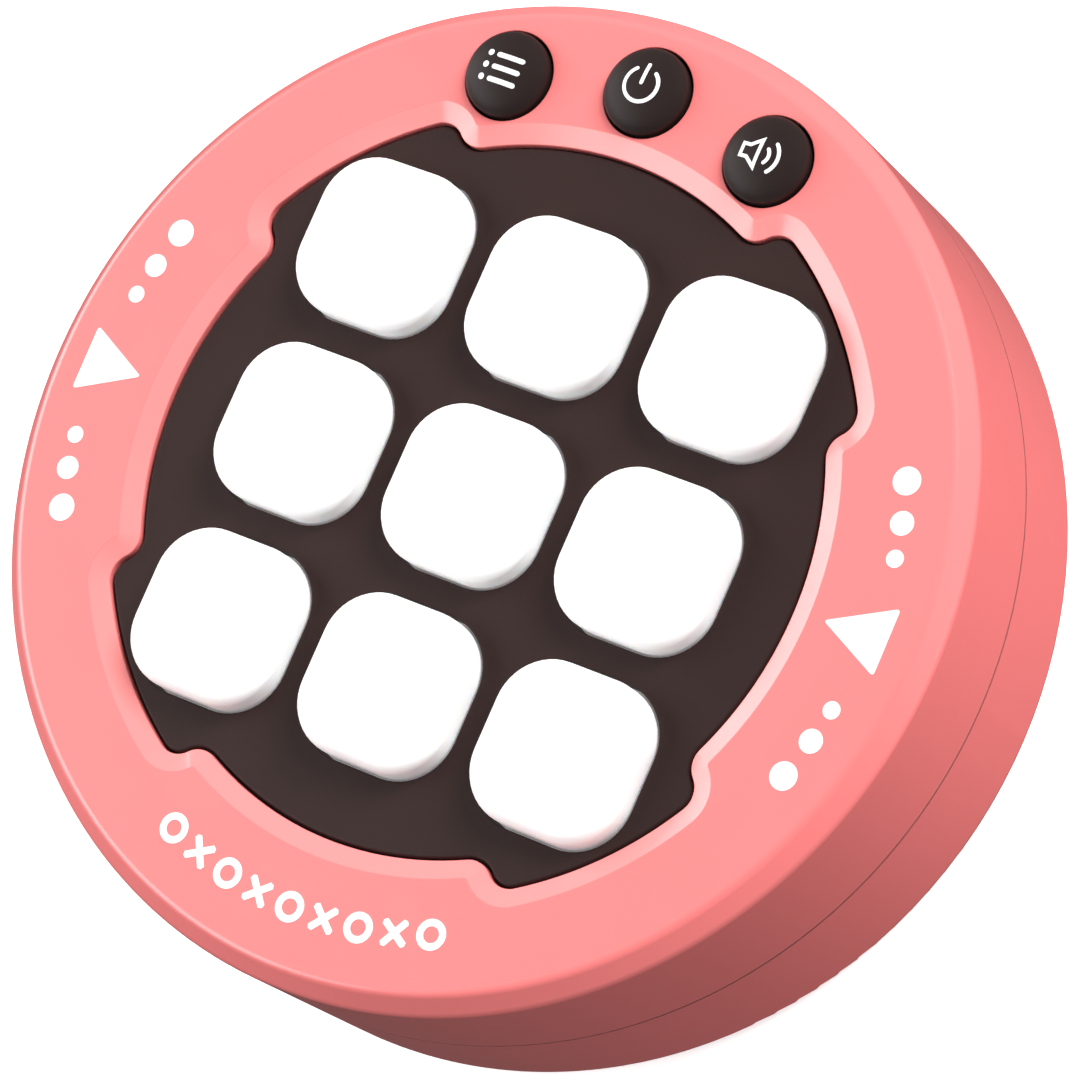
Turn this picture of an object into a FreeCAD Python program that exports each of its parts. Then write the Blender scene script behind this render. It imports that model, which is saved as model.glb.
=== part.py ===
"""Handheld light-up noughts-and-crosses game, lying on its back.

Frame: millimetres, +Z up out of the playing face, +Y towards the power button, +X to its right.
The origin is the centre of the base, so the base lies in the plane z = 0.
"""
import FreeCAD, Part
import math
import os
import re

import Sketcher

SIZES = {
    # Casing, measured from the base upwards
    "case_radius": 55.8,
    "face_radius": 53.85,
    "face_height": 33.0,
    "shoulder_height": 30.76,
    "split_height": 15.55,
    "wall": 2.2,
    "deck": 2.2,
    "floor": 2.0,
    "base_round": 1.5,
    "seam_bevel": 0.12,
    "lip_width": 1.0,
    "lip_rise": 1.45,
    "fit_gap": 0.1,
    # Opening in the face: four short-radius stretches and four lobes, joined by S-curves
    "open_short": 39.4,
    "open_lobe": 43.22,
    "step_angle": 28.1,
    "step_round": 2.7,
    "rim_width": 2.2,
    "rim_depth": 0.94,
    # Playing panel
    "panel_top": 31.8,
    "panel_bottom": 28.8,
    "panel_gap": 0.3,
    "panel_flange": 1.2,
    # Keys
    "pitch": 22.0,
    "key_width": 18.2,
    "key_corner": 6.2,
    "key_top": 35.3,
    "key_seat": 27.3,
    "key_crown": 1.3,
    "key_clear": 0.25,
    "key_flange": 20.4,
    "key_flange_thick": 1.4,
    "key_skin": 1.8,
    "plunger_radius": 5.0,
    "plunger_bore": 3.4,
    # Control buttons
    "button_orbit": 47.0,
    "button_spread": 20.4,
    "button_radius": 4.85,
    "button_hole": 5.15,
    "button_top": 35.4,
    "button_round": 1.5,
    "button_flange": 5.7,
    "button_flange_top": 30.5,
    "button_flange_thick": 1.3,
    "button_stem": 2.6,
    # Circuit board and the rubber on it
    "board_bottom": 22.6,
    "board_top": 24.2,
    "board_radius": 50.4,
    "board_notch": 4.2,
    "mat_thick": 0.6,
    "mat_width": 66.8,
    "mat_corner": 8.4,
    "dome_foot": 7.5,
    "dome_web": 0.5,
    "dome_gap": 0.05,
    "dome_drop": 1.05,
    "small_foot": 4.6,
    "small_ring": 2.4,
    "small_bore": 1.2,
    "pad_thick": 0.1,
    "led_radius": 1.5,
    "led_flange": 1.9,
    "led_rise": 4.8,
    # Light baffle between the keys
    "baffle_cell": 21.1,
    "baffle_wall": 0.9,
    # Screws and their posts
    "case_post_orbit": 48.3,
    "case_post": 4.0,
    "case_boss": 3.3,
    "case_boss_bottom": 16.2,
    "case_post_top": 16.0,
    "case_head_seat": 5.0,
    "board_boss_orbit": 47.4,
    "board_boss": 2.6,
    "screw_shank": 1.3,
    "screw_gap": 0.05,
    "screw_head": 2.4,
    "screw_head_thick": 1.8,
    "case_screw_length": 15.0,
    "board_screw_length": 5.0,
    "clearance_hole": 1.6,
    # Battery bay: three AAA cells side by side, along X
    "bay_y": -14.5,
    "bay_length": 50.4,
    "bay_width": 34.6,
    "bay_roof": 13.4,
    "bay_wall": 1.6,
    "bay_block": 3.6,
    "cell_radius": 5.2,
    "cell_length": 44.5,
    "cell_nub_radius": 1.9,
    "cell_nub": 1.0,
    "cell_pitch": 11.2,
    "cell_axis": 8.0,
    "plate_thick": 0.4,
    "spring_radius": 2.8,
    "spring_wire": 0.3,
    "spring_turns": 3.5,
    # Battery door with its two captive screws
    "door_lip": 2.2,
    "door_gap": 0.2,
    "door_thick": 1.5,
    "door_corner": 3.0,
    "door_rib": 1.2,
    "door_rib_inset": 0.4,
    "door_rib_thick": 1.4,
    "ear_reach": 30.0,
    "ear_radius": 4.4,
    "door_boss": 3.4,
    "door_boss_top": 10.0,
    "door_screw_top": 8.4,
    "door_screw_head": 2.4,
    # Speaker, facing down through the floor
    "speaker_y": 27.5,
    "speaker_radius": 14.4,
    "speaker_ring": 14.6,
    "speaker_ring_wall": 1.3,
    "speaker_ring_top": 5.2,
    "speaker_rim": 1.2,
    "speaker_back": 5.8,
    "magnet_radius": 7.5,
    "magnet_top": 9.8,
    "grille_hole": 0.9,
    "grille_pitch": 3.6,
    # Leads
    "lead_radius": 0.6,
    "lead_hole": 0.9,
    "lead_height": 11.0,
}

KEY_ROWS = (1, 0, -1)
KEY_COLUMNS = (-1, 0, 1)
CASE_POST_ANGLES = (45, 135, 225, 315)
BOARD_BOSS_ANGLES = (0, 180, 248, 292)
BUTTONS = {"mode": 1, "power": 0, "sound": -1}

doc = FreeCAD.newDocument("noughts_and_crosses")
sheet = doc.addObject("Spreadsheet::Sheet", "Sizes")
parts = []


# ---- Spreadsheet and expressions -------------------------------------------------------------

def fill_sheet():
    """One row per driving dimension: its name in column A, its value in column B."""
    for row, (name, value) in enumerate(SIZES.items(), start=1):
        sheet.set(f"A{row}", name)
        sheet.set(f"B{row}", str(value))
        sheet.setAlias(f"B{row}", name)
    doc.recompute()


def linked(expression):
    """The expression with each dimension's name pointing into the sheet."""
    return re.sub(r"[a-z]\w*", lambda word: "Sizes." + word[0] if word[0] in SIZES else word[0],
                  str(expression))


def number(expression):
    """The expression's value now."""
    result = sheet.evalExpression(linked(expression))
    return float(getattr(result, "Value", result))


def bind(item, prop, expression):
    item.setExpression(prop, linked(expression))


def polar(radius, angle):
    """X and Y expressions of a point at a radius and an angle in degrees."""
    return f"({radius}) * cos({angle})", f"({radius}) * sin({angle})"


# ---- Bodies and sketches ---------------------------------------------------------------------

def new_body(label, x="0", y="0", z="0"):
    """A body that stands for one sub-part, placed by expressions."""
    item = doc.addObject("PartDesign::Body", label)
    item.Label = label
    for axis, expression in (("x", x), ("y", y), ("z", z)):
        if expression != "0":
            bind(item, f"Placement.Base.{axis}", expression)
    parts.append(item)
    return item


class Outline:
    """A sketch on one of a body's own origin planes, lifted along that plane's normal.

    Constraints are gathered first and added together, which the solver does far faster.
    """

    def __init__(self, body, name, lift="0", role="XY_Plane"):
        self.sketch = body.newObject("Sketcher::SketchObject", f"{body.Label}_{name}")
        plane = next(f for f in body.Origin.OriginFeatures if f.Role == role)
        self.sketch.AttachmentSupport = (plane, "")
        self.sketch.MapMode = "FlatFace"
        if lift != "0":
            bind(self.sketch, "AttachmentOffset.Base.z", lift)
        self.rules = []
        self.sizes = {}

    def add(self, shape):
        return self.sketch.addGeometry(shape)

    def join(self, *references):
        self.rules.append(Sketcher.Constraint("Coincident", *references))

    def dimension(self, kind, *references, size):
        """A dimension bound to an expression."""
        self.sizes[len(self.rules)] = size
        self.rules.append(Sketcher.Constraint(kind, *references, number(size)))

    def pin(self, geometry, end, x, y):
        """Hold one point at expressions measured from the sketch's origin."""
        self.dimension("DistanceX", -1, 1, geometry, end, size=x)
        self.dimension("DistanceY", -1, 1, geometry, end, size=y)

    def finish(self):
        """Add the gathered constraints and give the sketch."""
        self.sketch.addConstraint(self.rules)
        for index, size in self.sizes.items():
            self.sketch.setExpression(f"Constraints[{index}]", linked(size))
        self.sketch.Visibility = False
        return self.sketch


def place(x, y):
    """A point of a sketch now."""
    return FreeCAD.Vector(number(x), number(y), 0)


def draw_circle(outline, radius, x="0", y="0"):
    index = outline.add(Part.Circle(place(x, y), FreeCAD.Vector(0, 0, 1), number(radius)))
    outline.dimension("Radius", index, size=radius)
    outline.pin(index, 3, x, y)


def draw_polygon(outline, corners):
    """Closed outline with straight sides, every corner bound."""
    places = [place(x, y) for x, y in corners]
    sides = [outline.add(Part.LineSegment(a, b)) for a, b in zip(places, places[1:] + places[:1])]
    for this, following in zip(sides, sides[1:] + sides[:1]):
        outline.join(this, 2, following, 1)
    for side, (x, y) in zip(sides, corners):
        outline.pin(side, 1, x, y)


def draw_arc(outline, start, end, radius, counterclockwise=True):
    """Arc shorter than half a turn between two points, with a bound radius."""
    first, last = place(*start), place(*end)
    size = number(radius)
    chord = last - first
    height = math.sqrt(max(size ** 2 - (chord.Length / 2) ** 2, 0))
    side = FreeCAD.Vector(-chord.y, chord.x, 0).normalize() * (1 if counterclockwise else -1)
    middle = (first + last) / 2 + side * (height - size)
    index = outline.add(Part.Arc(first, middle, last))
    # A sketch stores every arc counterclockwise, so a clockwise one has its ends swapped.
    first_end, last_end = (1, 2) if counterclockwise else (2, 1)
    outline.dimension("Radius", index, size=radius)
    return index, first_end, last_end


def draw_rounded_box(outline, width, depth, corner, x="0", y="0"):
    """Rectangle with round corners, centred on x, y."""
    half_w, half_d = f"({width}) / 2", f"({depth}) / 2"
    corners = []
    for sx, sy in ((1, 1), (-1, 1), (-1, -1), (1, -1)):
        along_x = (f"({x}) + {sx} * ({half_w} - ({corner}))", f"({y}) + {sy} * {half_d}")
        along_y = (f"({x}) + {sx} * {half_w}", f"({y}) + {sy} * ({half_d} - ({corner}))")
        corners.append((along_y, along_x) if sx * sy > 0 else (along_x, along_y))
    arcs = [draw_arc(outline, start, end, corner) for start, end in corners]
    for (index, first_end, last_end), (start, end) in zip(arcs, corners):
        outline.pin(index, first_end, *start)
        outline.pin(index, last_end, *end)
    for k, (_, end) in enumerate(corners):
        line = outline.add(Part.LineSegment(place(*end), place(*corners[(k + 1) % 4][0])))
        outline.join(line, 1, arcs[k][0], arcs[k][2])
        outline.join(line, 2, arcs[(k + 1) % 4][0], arcs[(k + 1) % 4][1])


def draw_lobed_outline(outline, outward):
    """Outline of the face's opening, moved outward by a distance (inward where it is negative).

    Each S-curve is two arcs: one about a centre outside the short radius and one about a centre
    inside the lobe radius. Moving the outline keeps those centres and changes only the radii.
    """
    near, far = "(open_short + step_round)", "(open_lobe - step_round)"
    spread = f"(acos(({near}^2 + {far}^2 - (2 * step_round)^2) / (2 * {near} * {far})) / 1 deg)"
    near_angle, far_angle = f"(step_angle - {spread} / 2)", f"(step_angle + {spread} / 2)"
    share = f"((step_round - ({outward})) / (2 * step_round))"
    joins, radii, turns = [], [], []
    for quarter in range(4):
        for sign in (1, -1):
            base = 90 * quarter if sign == 1 else 90 * (quarter + 1)
            near_at = polar(near, f"{base} + {sign} * {near_angle}")
            far_at = polar(far, f"{base} + {sign} * {far_angle}")
            three = [
                polar(f"open_short + ({outward})", f"{base} + {sign} * {near_angle}"),
                tuple(f"{a} + (({b}) - ({a})) * {share}" for a, b in zip(near_at, far_at)),
                polar(f"open_lobe + ({outward})", f"{base} + {sign} * {far_angle}"),
            ]
            small = [(f"step_round - ({outward})", False), (f"step_round + ({outward})", True)]
            joins += three if sign == 1 else three[::-1]
            lead_out = small + [(f"open_lobe + ({outward})", True)]
            lead_in = small[::-1] + [(f"open_short + ({outward})", True)]
            for radius, turn in (lead_out if sign == 1 else lead_in):
                radii.append(radius)
                turns.append(turn)
    arcs = []
    for k, (radius, turn) in enumerate(zip(radii, turns)):
        arcs.append(draw_arc(outline, joins[k], joins[(k + 1) % len(joins)], radius, turn))
        outline.pin(arcs[k][0], arcs[k][1], *joins[k])
    for (this, _, this_end), (following, next_end, _) in zip(arcs, arcs[1:] + arcs[:1]):
        outline.join(this, this_end, following, next_end)


# ---- Features --------------------------------------------------------------------------------

def pad(body, name, lift, thickness, draw, role="XY_Plane"):
    """Solid raised from a lifted sketch; draw fills the sketch."""
    outline = Outline(body, f"{name}_sketch", lift, role)
    draw(outline)
    item = body.newObject("PartDesign::Pad", f"{body.Label}_{name}")
    item.Profile = outline.finish()
    bind(item, "Length", thickness)
    return item


def pocket(body, name, top, depth, draw, role="XY_Plane"):
    """Cut that runs from a lifted sketch against its plane's normal; it has to remove material."""
    doc.recompute()
    before = body.Shape.Volume
    outline = Outline(body, f"{name}_sketch", top, role)
    draw(outline)
    item = body.newObject("PartDesign::Pocket", f"{body.Label}_{name}")
    item.Profile = outline.finish()
    bind(item, "Length", depth)
    doc.recompute()
    if before - item.Shape.Volume < 1e-3:
        raise RuntimeError(f"{item.Name} cuts nothing")
    return item


def circles(radius, *centres):
    """A drawing of equal circles, for pad and pocket."""
    def draw(outline):
        for x, y in centres or (("0", "0"),):
            draw_circle(outline, radius, x, y)
    return draw


def rings(outer, inner, *centres):
    """A drawing of equal rings, for pad."""
    def draw(outline):
        for x, y in centres or (("0", "0"),):
            draw_circle(outline, outer, x, y)
            draw_circle(outline, inner, x, y)
    return draw


def boxes(width, depth, corner, *centres):
    """A drawing of equal rectangles with round corners."""
    def draw(outline):
        for x, y in centres or (("0", "0"),):
            draw_rounded_box(outline, width, depth, corner, x, y)
    return draw


def polygons(*outlines):
    """A drawing of closed outlines with straight sides."""
    def draw(outline):
        for corners in outlines:
            draw_polygon(outline, corners)
    return draw


def lobes(outward):
    """A drawing of the opening's outline, moved outward."""
    return lambda outline: draw_lobed_outline(outline, outward)


def cross(size, width, centres):
    """Plus-shaped outlines, for screw recesses."""
    steps = ((1, 0.5), (0.5, 0.5), (0.5, 1), (-0.5, 1), (-0.5, 0.5), (-1, 0.5),
             (-1, -0.5), (-0.5, -0.5), (-0.5, -1), (0.5, -1), (0.5, -0.5), (1, -0.5))

    def arm(step):
        return f"{math.copysign(1, step):.0f} * {size if abs(step) == 1 else width}"
    return polygons(*[[(f"({x}) + {arm(a)}", f"({y}) + {arm(b)}") for a, b in steps]
                      for x, y in centres])


def turned(body, name, corners):
    """Solid turned about the body's Z axis from (radius, height) corners."""
    outline = Outline(body, f"{name}_profile", role="XZ_Plane")
    draw_polygon(outline, corners)
    item = body.newObject("PartDesign::Revolution", f"{body.Label}_{name}")
    item.Profile = outline.finish()
    item.ReferenceAxis = (item.Profile[0], ["V_Axis"])
    item.Angle = 360
    return item


def repeat(body, feature, **directions):
    """Pattern of a feature: for each sketch axis, how many times and how far apart."""
    doc.recompute()
    pattern = body.newObject("PartDesign::MultiTransform", f"{feature.Name}_pattern")
    pattern.Originals = [feature]
    steps = []
    for axis, (count, spacing) in directions.items():
        step = body.newObject("PartDesign::LinearPattern", f"{feature.Name}_along_{axis}")
        step.Direction = (feature.Profile[0], [axis])
        step.Occurrences = count
        bind(step, "Length", f"{count - 1} * ({spacing})")
        steps.append(step)
    pattern.Transformations = steps
    body.Tip = pattern
    return pattern


def edges_where(body, test):
    """Names of the edges whose points, in the body's own frame, all pass the test."""
    doc.recompute()
    names = []
    for index, edge in enumerate(body.Tip.Shape.Edges, start=1):
        if all(test(point) for point in edge.discretize(5)):
            names.append(f"Edge{index}")
    return names


def dress(body, kind, name, size, test):
    """Fillet or chamfer of the edges that pass the test."""
    names = edges_where(body, test)
    if not names:
        raise RuntimeError(f"{body.Label}_{name} finds no edge")
    base = body.Tip
    item = body.newObject(f"PartDesign::{kind}", f"{body.Label}_{name}")
    item.Base = (base, names)
    bind(item, "Radius" if kind == "Fillet" else "Size", size)
    return item


def at_height(expression, tolerance=1e-3):
    """Test for points at a height."""
    level = number(expression)
    return lambda point: abs(point.z - level) < tolerance


def add_shape(label, shape):
    """A sub-part whose shape comes straight from Part, with sizes read from the sheet."""
    item = doc.addObject("Part::Feature", label)
    item.Label = label
    item.Shape = shape
    parts.append(item)
    return item


# ---- Places shared by several sub-parts ------------------------------------------------------

def key_places():
    """Row, column and centre of each key; row 1 is the one nearest the power button."""
    for row, up in enumerate(KEY_ROWS, start=1):
        for column, right in enumerate(KEY_COLUMNS, start=1):
            yield row, column, (f"{right} * pitch", f"{up} * pitch")


def key_centres():
    return [centre for _, _, centre in key_places()]


def button_centre(name):
    return polar("button_orbit", f"90 + {BUTTONS[name]} * button_spread")


def button_centres():
    return [button_centre(name) for name in BUTTONS]


def around(radius, angles):
    return [polar(radius, angle) for angle in angles]


def ear_centres():
    return [("ear_reach", "bay_y"), ("-1 * ear_reach", "bay_y")]


def cell_rows():
    """Height of each cell along Y, and which end its positive cap faces (1 is +X)."""
    return [("bay_y + cell_pitch", 1), ("bay_y", -1), ("bay_y - cell_pitch", 1)]


def hexagon_rings(pitch, rings_out):
    """Centres of a hexagonal field of holes, ring by ring."""
    yield "0", "0"
    for ring in range(1, rings_out + 1):
        for step in range(6 * ring):
            yield polar(f"{ring} * {pitch}", f"{60 * step / ring:g}")


# ---- Casing ----------------------------------------------------------------------------------

def make_front_shell():
    body = new_body("front_shell")
    inside = "case_radius - wall"
    step = "case_radius - wall + lip_width + fit_gap"
    turned(body, "shell", [
        ("0", "face_height"),
        ("face_radius", "face_height"),
        ("case_radius", "shoulder_height"),
        ("case_radius", "split_height + seam_bevel"),
        ("case_radius - seam_bevel", "split_height"),
        (step, "split_height"),
        (step, "split_height + lip_rise + fit_gap"),
        (inside, "split_height + lip_rise + fit_gap"),
        (inside, "face_height - deck"),
        ("0", "face_height - deck"),
    ])
    pocket(body, "opening", "face_height", "deck", lobes("0"))
    upper = Outline(body, "rim_upper", "face_height")
    draw_lobed_outline(upper, "rim_width")
    lower = Outline(body, "rim_lower", "face_height - rim_depth")
    draw_lobed_outline(lower, "0")
    rim = body.newObject("PartDesign::SubtractiveLoft", "front_shell_rim")
    rim.Profile = upper.finish()
    rim.Sections = [lower.finish()]
    rim.Ruled = True
    pocket(body, "button_holes", "face_height", "deck", circles("button_hole", *button_centres()))
    bosses = around("case_post_orbit", CASE_POST_ANGLES)
    pad(body, "case_bosses", "case_boss_bottom", "face_height - deck - case_boss_bottom",
        rings("case_boss", "screw_shank + screw_gap", *bosses))
    studs = around("board_boss_orbit", BOARD_BOSS_ANGLES)
    pad(body, "board_bosses", "board_top", "face_height - deck - board_top",
        rings("board_boss", "screw_shank + screw_gap", *studs))


def make_rear_shell():
    body = new_body("rear_shell")
    inside = "case_radius - wall"
    turned(body, "shell", [
        ("0", "0"),
        ("case_radius", "0"),
        ("case_radius", "split_height - seam_bevel"),
        ("case_radius - seam_bevel", "split_height"),
        (f"{inside} + lip_width", "split_height"),
        (f"{inside} + lip_width", "split_height + lip_rise"),
        (inside, "split_height + lip_rise"),
        (inside, "floor"),
        ("0", "floor"),
    ])
    dress(body, "Fillet", "base_edge", "base_round", at_height("0"))
    posts = around("case_post_orbit", CASE_POST_ANGLES)
    speaker = ("0", "speaker_y")
    pad(body, "speaker_ring", "floor", "speaker_ring_top - floor",
        rings("speaker_ring + speaker_ring_wall", "speaker_ring", speaker))
    pad(body, "bay_block", "floor", "bay_block - floor",
        boxes("bay_length + 2 * door_lip + 4", "bay_width + 2 * door_lip + 4", "door_corner + 2",
              ("0", "bay_y")))
    pad(body, "bay_walls", "bay_block", "bay_roof + bay_wall - bay_block",
        boxes("bay_length + 2 * bay_wall", "bay_width + 2 * bay_wall", "bay_wall", ("0", "bay_y")))
    pad(body, "door_bosses", "floor", "door_boss_top - floor", circles("door_boss", *ear_centres()))
    pad(body, "ear_blocks", "floor", "bay_block - floor",
        circles("ear_radius + 2", *ear_centres()))
    pad(body, "case_posts", "floor", "case_post_top - floor", circles("case_post", *posts))
    pocket(body, "head_wells", "case_head_seat", "case_head_seat",
           circles("screw_head + 0.4", *posts))
    pocket(body, "post_holes", "case_post_top", "case_post_top - case_head_seat",
           circles("clearance_hole", *posts))
    pocket(body, "bay", "bay_roof", "bay_roof",
           boxes("bay_length", "bay_width", "0.8", ("0", "bay_y")))
    pocket(body, "door_recess", "door_thick + door_gap", "door_thick + door_gap",
           boxes("bay_length + 2 * (door_lip + door_gap)", "bay_width + 2 * (door_lip + door_gap)",
                 "door_corner + door_gap", ("0", "bay_y")))
    pocket(body, "ear_recess", "door_thick + door_gap", "door_thick + door_gap",
           circles("ear_radius + door_gap", *ear_centres()))
    pocket(body, "door_screw_holes", "door_screw_top + 0.4", "door_screw_top + 0.4",
           circles("screw_shank + screw_gap", *ear_centres()))
    pocket(body, "grille", "floor", "floor",
           circles("grille_hole", *[(x, f"speaker_y + {y}")
                                    for x, y in hexagon_rings("grille_pitch", 3)]))
    (positive_y, _), (negative_y, _) = cell_rows()[0], cell_rows()[2]
    through = "bay_wall + 0.4"
    pocket(body, "positive_lead_hole", "bay_length / 2 + bay_wall + 0.2", through,
           circles("lead_hole", (positive_y, "lead_height")), "YZ_Plane")
    pocket(body, "negative_lead_hole", "-1 * bay_length / 2 + 0.2", through,
           circles("lead_hole", (negative_y, "lead_height")), "YZ_Plane")


def make_battery_door():
    body = new_body("battery_door")
    centre = ("0", "bay_y")
    pad(body, "plate", "0", "door_thick",
        boxes("bay_length + 2 * door_lip", "bay_width + 2 * door_lip", "door_corner", centre))
    pad(body, "ears", "0", "door_thick", circles("ear_radius", *ear_centres()))
    outer = ("bay_length - 2 * door_rib_inset", "bay_width - 2 * door_rib_inset")
    inner = tuple(f"{size} - 2 * door_rib_thick" for size in outer)

    def rib(outline):
        draw_rounded_box(outline, *outer, "0.6", *centre)
        draw_rounded_box(outline, *inner, "0.4", *centre)
    pad(body, "locating_rib", "door_thick", "door_rib", rib)
    pocket(body, "screw_holes", "door_thick", "door_thick",
           circles("screw_shank + screw_gap", *ear_centres()))
    dress(body, "Chamfer", "countersinks", "door_screw_head - screw_shank",
          lambda point: abs(point.z) < 1e-3 and any(
              math.hypot(point.x - number(x), point.y - number(y)) < number("screw_head")
              for x, y in ear_centres()))


def make_game_panel():
    body = new_body("game_panel")
    pad(body, "flange", "panel_bottom", "face_height - deck - panel_bottom", lobes("panel_flange"))
    pad(body, "field", "face_height - deck", "panel_top - face_height + deck",
        lobes("-1 * panel_gap"))
    hole = "key_width + 2 * key_clear"
    first = pocket(body, "key_hole", "panel_top", "panel_top - panel_bottom",
                   boxes(hole, hole, "key_corner + key_clear", ("-1 * pitch", "-1 * pitch")))
    repeat(body, first, H_Axis=(3, "pitch"), V_Axis=(3, "pitch"))


# ---- Keys, buttons and the rubber under them -------------------------------------------------

def make_key(row, column, centre):
    """Hollow cap with a retaining flange and a tubular plunger around the lamp below it."""
    body = new_body(f"key_r{row}c{column}", *centre, "key_seat")
    rise = "key_top - key_seat"
    pad(body, "cap", "0", rise, boxes("key_width", "key_width", "key_corner"))
    dress(body, "Fillet", "crown", "key_crown", at_height(rise))
    pad(body, "flange", "0", "key_flange_thick",
        boxes("key_flange", "key_flange", "key_corner + (key_flange - key_width) / 2"))

    def hollow(outline):
        draw_rounded_box(outline, "key_width - 3.2", "key_width - 3.2", "key_corner - 1.6")
        draw_circle(outline, "plunger_radius")
    pocket(body, "hollow", f"{rise} - key_skin", f"{rise} - key_skin", hollow)
    pocket(body, "lamp_bore", f"{rise} - key_skin", f"{rise} - key_skin", circles("plunger_bore"))


def make_button(name):
    """Round domed push button with a retaining flange and a short stem."""
    body = new_body(f"{name}_button", *button_centre(name))
    flange_bottom = "button_flange_top - button_flange_thick"
    turned(body, "cap", [
        ("0", "key_seat"),
        ("button_stem", "key_seat"),
        ("button_stem", flange_bottom),
        ("button_flange", flange_bottom),
        ("button_flange", "button_flange_top"),
        ("button_radius", "button_flange_top"),
        ("button_radius", "button_top"),
        ("0", "button_top"),
    ])
    dress(body, "Fillet", "crown", "button_round", at_height("button_top"))


def make_dome(label, centre, foot, ring, bore):
    """Springy rubber collar: a foot on the board, a thin sloping web and a ring under the key."""
    body = new_body(label, *centre)
    top = "key_seat - dome_gap"
    foot_top = "board_top + mat_thick"
    ring_bottom = f"{top} - dome_drop"
    turned(body, "collar", [
        (f"{foot} - 0.9", "board_top"),
        (foot, "board_top"),
        (foot, foot_top),
        (f"{foot} - 0.3", foot_top),
        (ring, f"{ring_bottom} + dome_web"),
        (ring, top),
        (bore, top),
        (bore, ring_bottom),
        (ring, ring_bottom),
    ])


def make_keypad_mat():
    body = new_body("keypad_mat")
    pad(body, "sheet", "board_top", "mat_thick", boxes("mat_width", "mat_width", "mat_corner"))
    pocket(body, "dome_holes", "board_top + mat_thick", "mat_thick",
           circles("dome_foot + 0.1", *key_centres()))


def make_light_baffle():
    """Grid of thin walls that keeps each lamp's light under its own key and clamps the panel."""
    body = new_body("light_baffle")
    bottom = "board_top + mat_thick"
    height = f"panel_bottom - ({bottom})"
    corner = "key_corner + (baffle_cell - key_width) / 2"
    span = "2 * pitch + baffle_cell + 2 * baffle_wall"
    pad(body, "block", bottom, height, boxes(span, span, f"{corner} + baffle_wall"))
    first = pocket(body, "cell", "panel_bottom", height,
                   boxes("baffle_cell", "baffle_cell", corner, ("-1 * pitch", "-1 * pitch")))
    repeat(body, first, H_Axis=(3, "pitch"), V_Axis=(3, "pitch"))


# ---- Electronics -----------------------------------------------------------------------------

def make_main_board():
    body = new_body("main_board")
    thickness = "board_top - board_bottom"
    pad(body, "disc", "board_bottom", thickness, circles("board_radius"))
    pocket(body, "boss_notches", "board_top", thickness,
           circles("board_notch", *around("case_post_orbit + 0.6", CASE_POST_ANGLES)))
    pocket(body, "screw_holes", "board_top", thickness,
           circles("screw_shank + 0.1", *around("board_boss_orbit", BOARD_BOSS_ANGLES)))


def make_contact_pads():
    """Carbon rings on the board, one pair of tracks under each rubber collar."""
    body = new_body("contact_pads")
    pad(body, "key_pads", "board_top", "pad_thick",
        rings("plunger_radius", "plunger_bore", *key_centres()))
    pad(body, "button_pads", "board_top", "pad_thick",
        rings("small_ring", "small_bore", *button_centres()))


def make_key_leds():
    """Lamps: a flanged round body with a domed end, one in the middle of each key."""
    body = new_body("key_leds")
    pad(body, "flanges", "board_top", "1.0", circles("led_flange", *key_centres()))
    pad(body, "lenses", "board_top + 1.0", "led_rise - 1.0", circles("led_radius", *key_centres()))
    dress(body, "Fillet", "domes", "led_radius - 0.1", at_height("board_top + led_rise"))


def make_controller_chip():
    """Flat chip under the board, with two rows of legs."""
    body = new_body("controller_chip", "-20", "12")
    pad(body, "package", "board_bottom - 2.3", "2.1", boxes("10.2", "7.4", "0.3"))
    legs = pad(body, "legs", "board_bottom - 1.2", "1.2",
               boxes("0.42", "1.6", "0.1", ("-4.445", "4.4"), ("-4.445", "-4.4")))
    repeat(body, legs, H_Axis=(8, "1.27"))


def make_capacitors():
    """Two can capacitors hanging from the board."""
    body = new_body("capacitors")
    places = (("22", "14"), ("30", "10"))
    pad(body, "cans", "board_bottom - 6.5", "6.5", circles("2.5", *places))
    dress(body, "Fillet", "can_ends", "0.5", at_height("board_bottom - 6.5"))


def make_resistors():
    """Row of chip resistors under the board, one for each lamp."""
    body = new_body("resistors")
    first = pad(body, "block", "board_bottom - 0.6", "0.6",
                boxes("1.3", "2.0", "0.1", ("-12.8", "2.5")))
    repeat(body, first, H_Axis=(9, "3.2"))


def make_speaker():
    frame = new_body("speaker_frame", "0", "speaker_y")
    turned(frame, "basket", [
        ("speaker_radius - 1.8", "floor"),
        ("speaker_radius", "floor"),
        ("speaker_radius", "floor + speaker_rim"),
        ("speaker_radius - 1.4", "floor + speaker_rim"),
        ("magnet_radius + 1.5", "speaker_back"),
        ("0", "speaker_back"),
        ("0", "speaker_back - 0.6"),
        ("magnet_radius + 1.1", "speaker_back - 0.6"),
        ("speaker_radius - 1.8", "floor + speaker_rim - 0.1"),
    ])
    magnet = new_body("speaker_magnet", "0", "speaker_y")
    turned(magnet, "cup", [
        ("0", "speaker_back"),
        ("magnet_radius", "speaker_back"),
        ("magnet_radius", "magnet_top"),
        ("0", "magnet_top"),
    ])
    dress(magnet, "Chamfer", "cup_edge", "0.5", at_height("magnet_top"))
    cone = new_body("speaker_cone", "0", "speaker_y")
    turned(cone, "membrane", [
        ("0", "floor + 0.6"),
        ("3.2", "floor + 1.1"),
        ("4.6", "floor + 2.0"),
        ("speaker_radius - 2.6", "floor + 0.3"),
        ("speaker_radius - 2.0", "floor + 0.3"),
        ("speaker_radius - 2.0", "floor + 0.6"),
        ("speaker_radius - 2.5", "floor + 0.6"),
        ("4.6", "floor + 2.4"),
        ("2.9", "floor + 1.4"),
        ("0", "floor + 0.9"),
    ])


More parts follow.
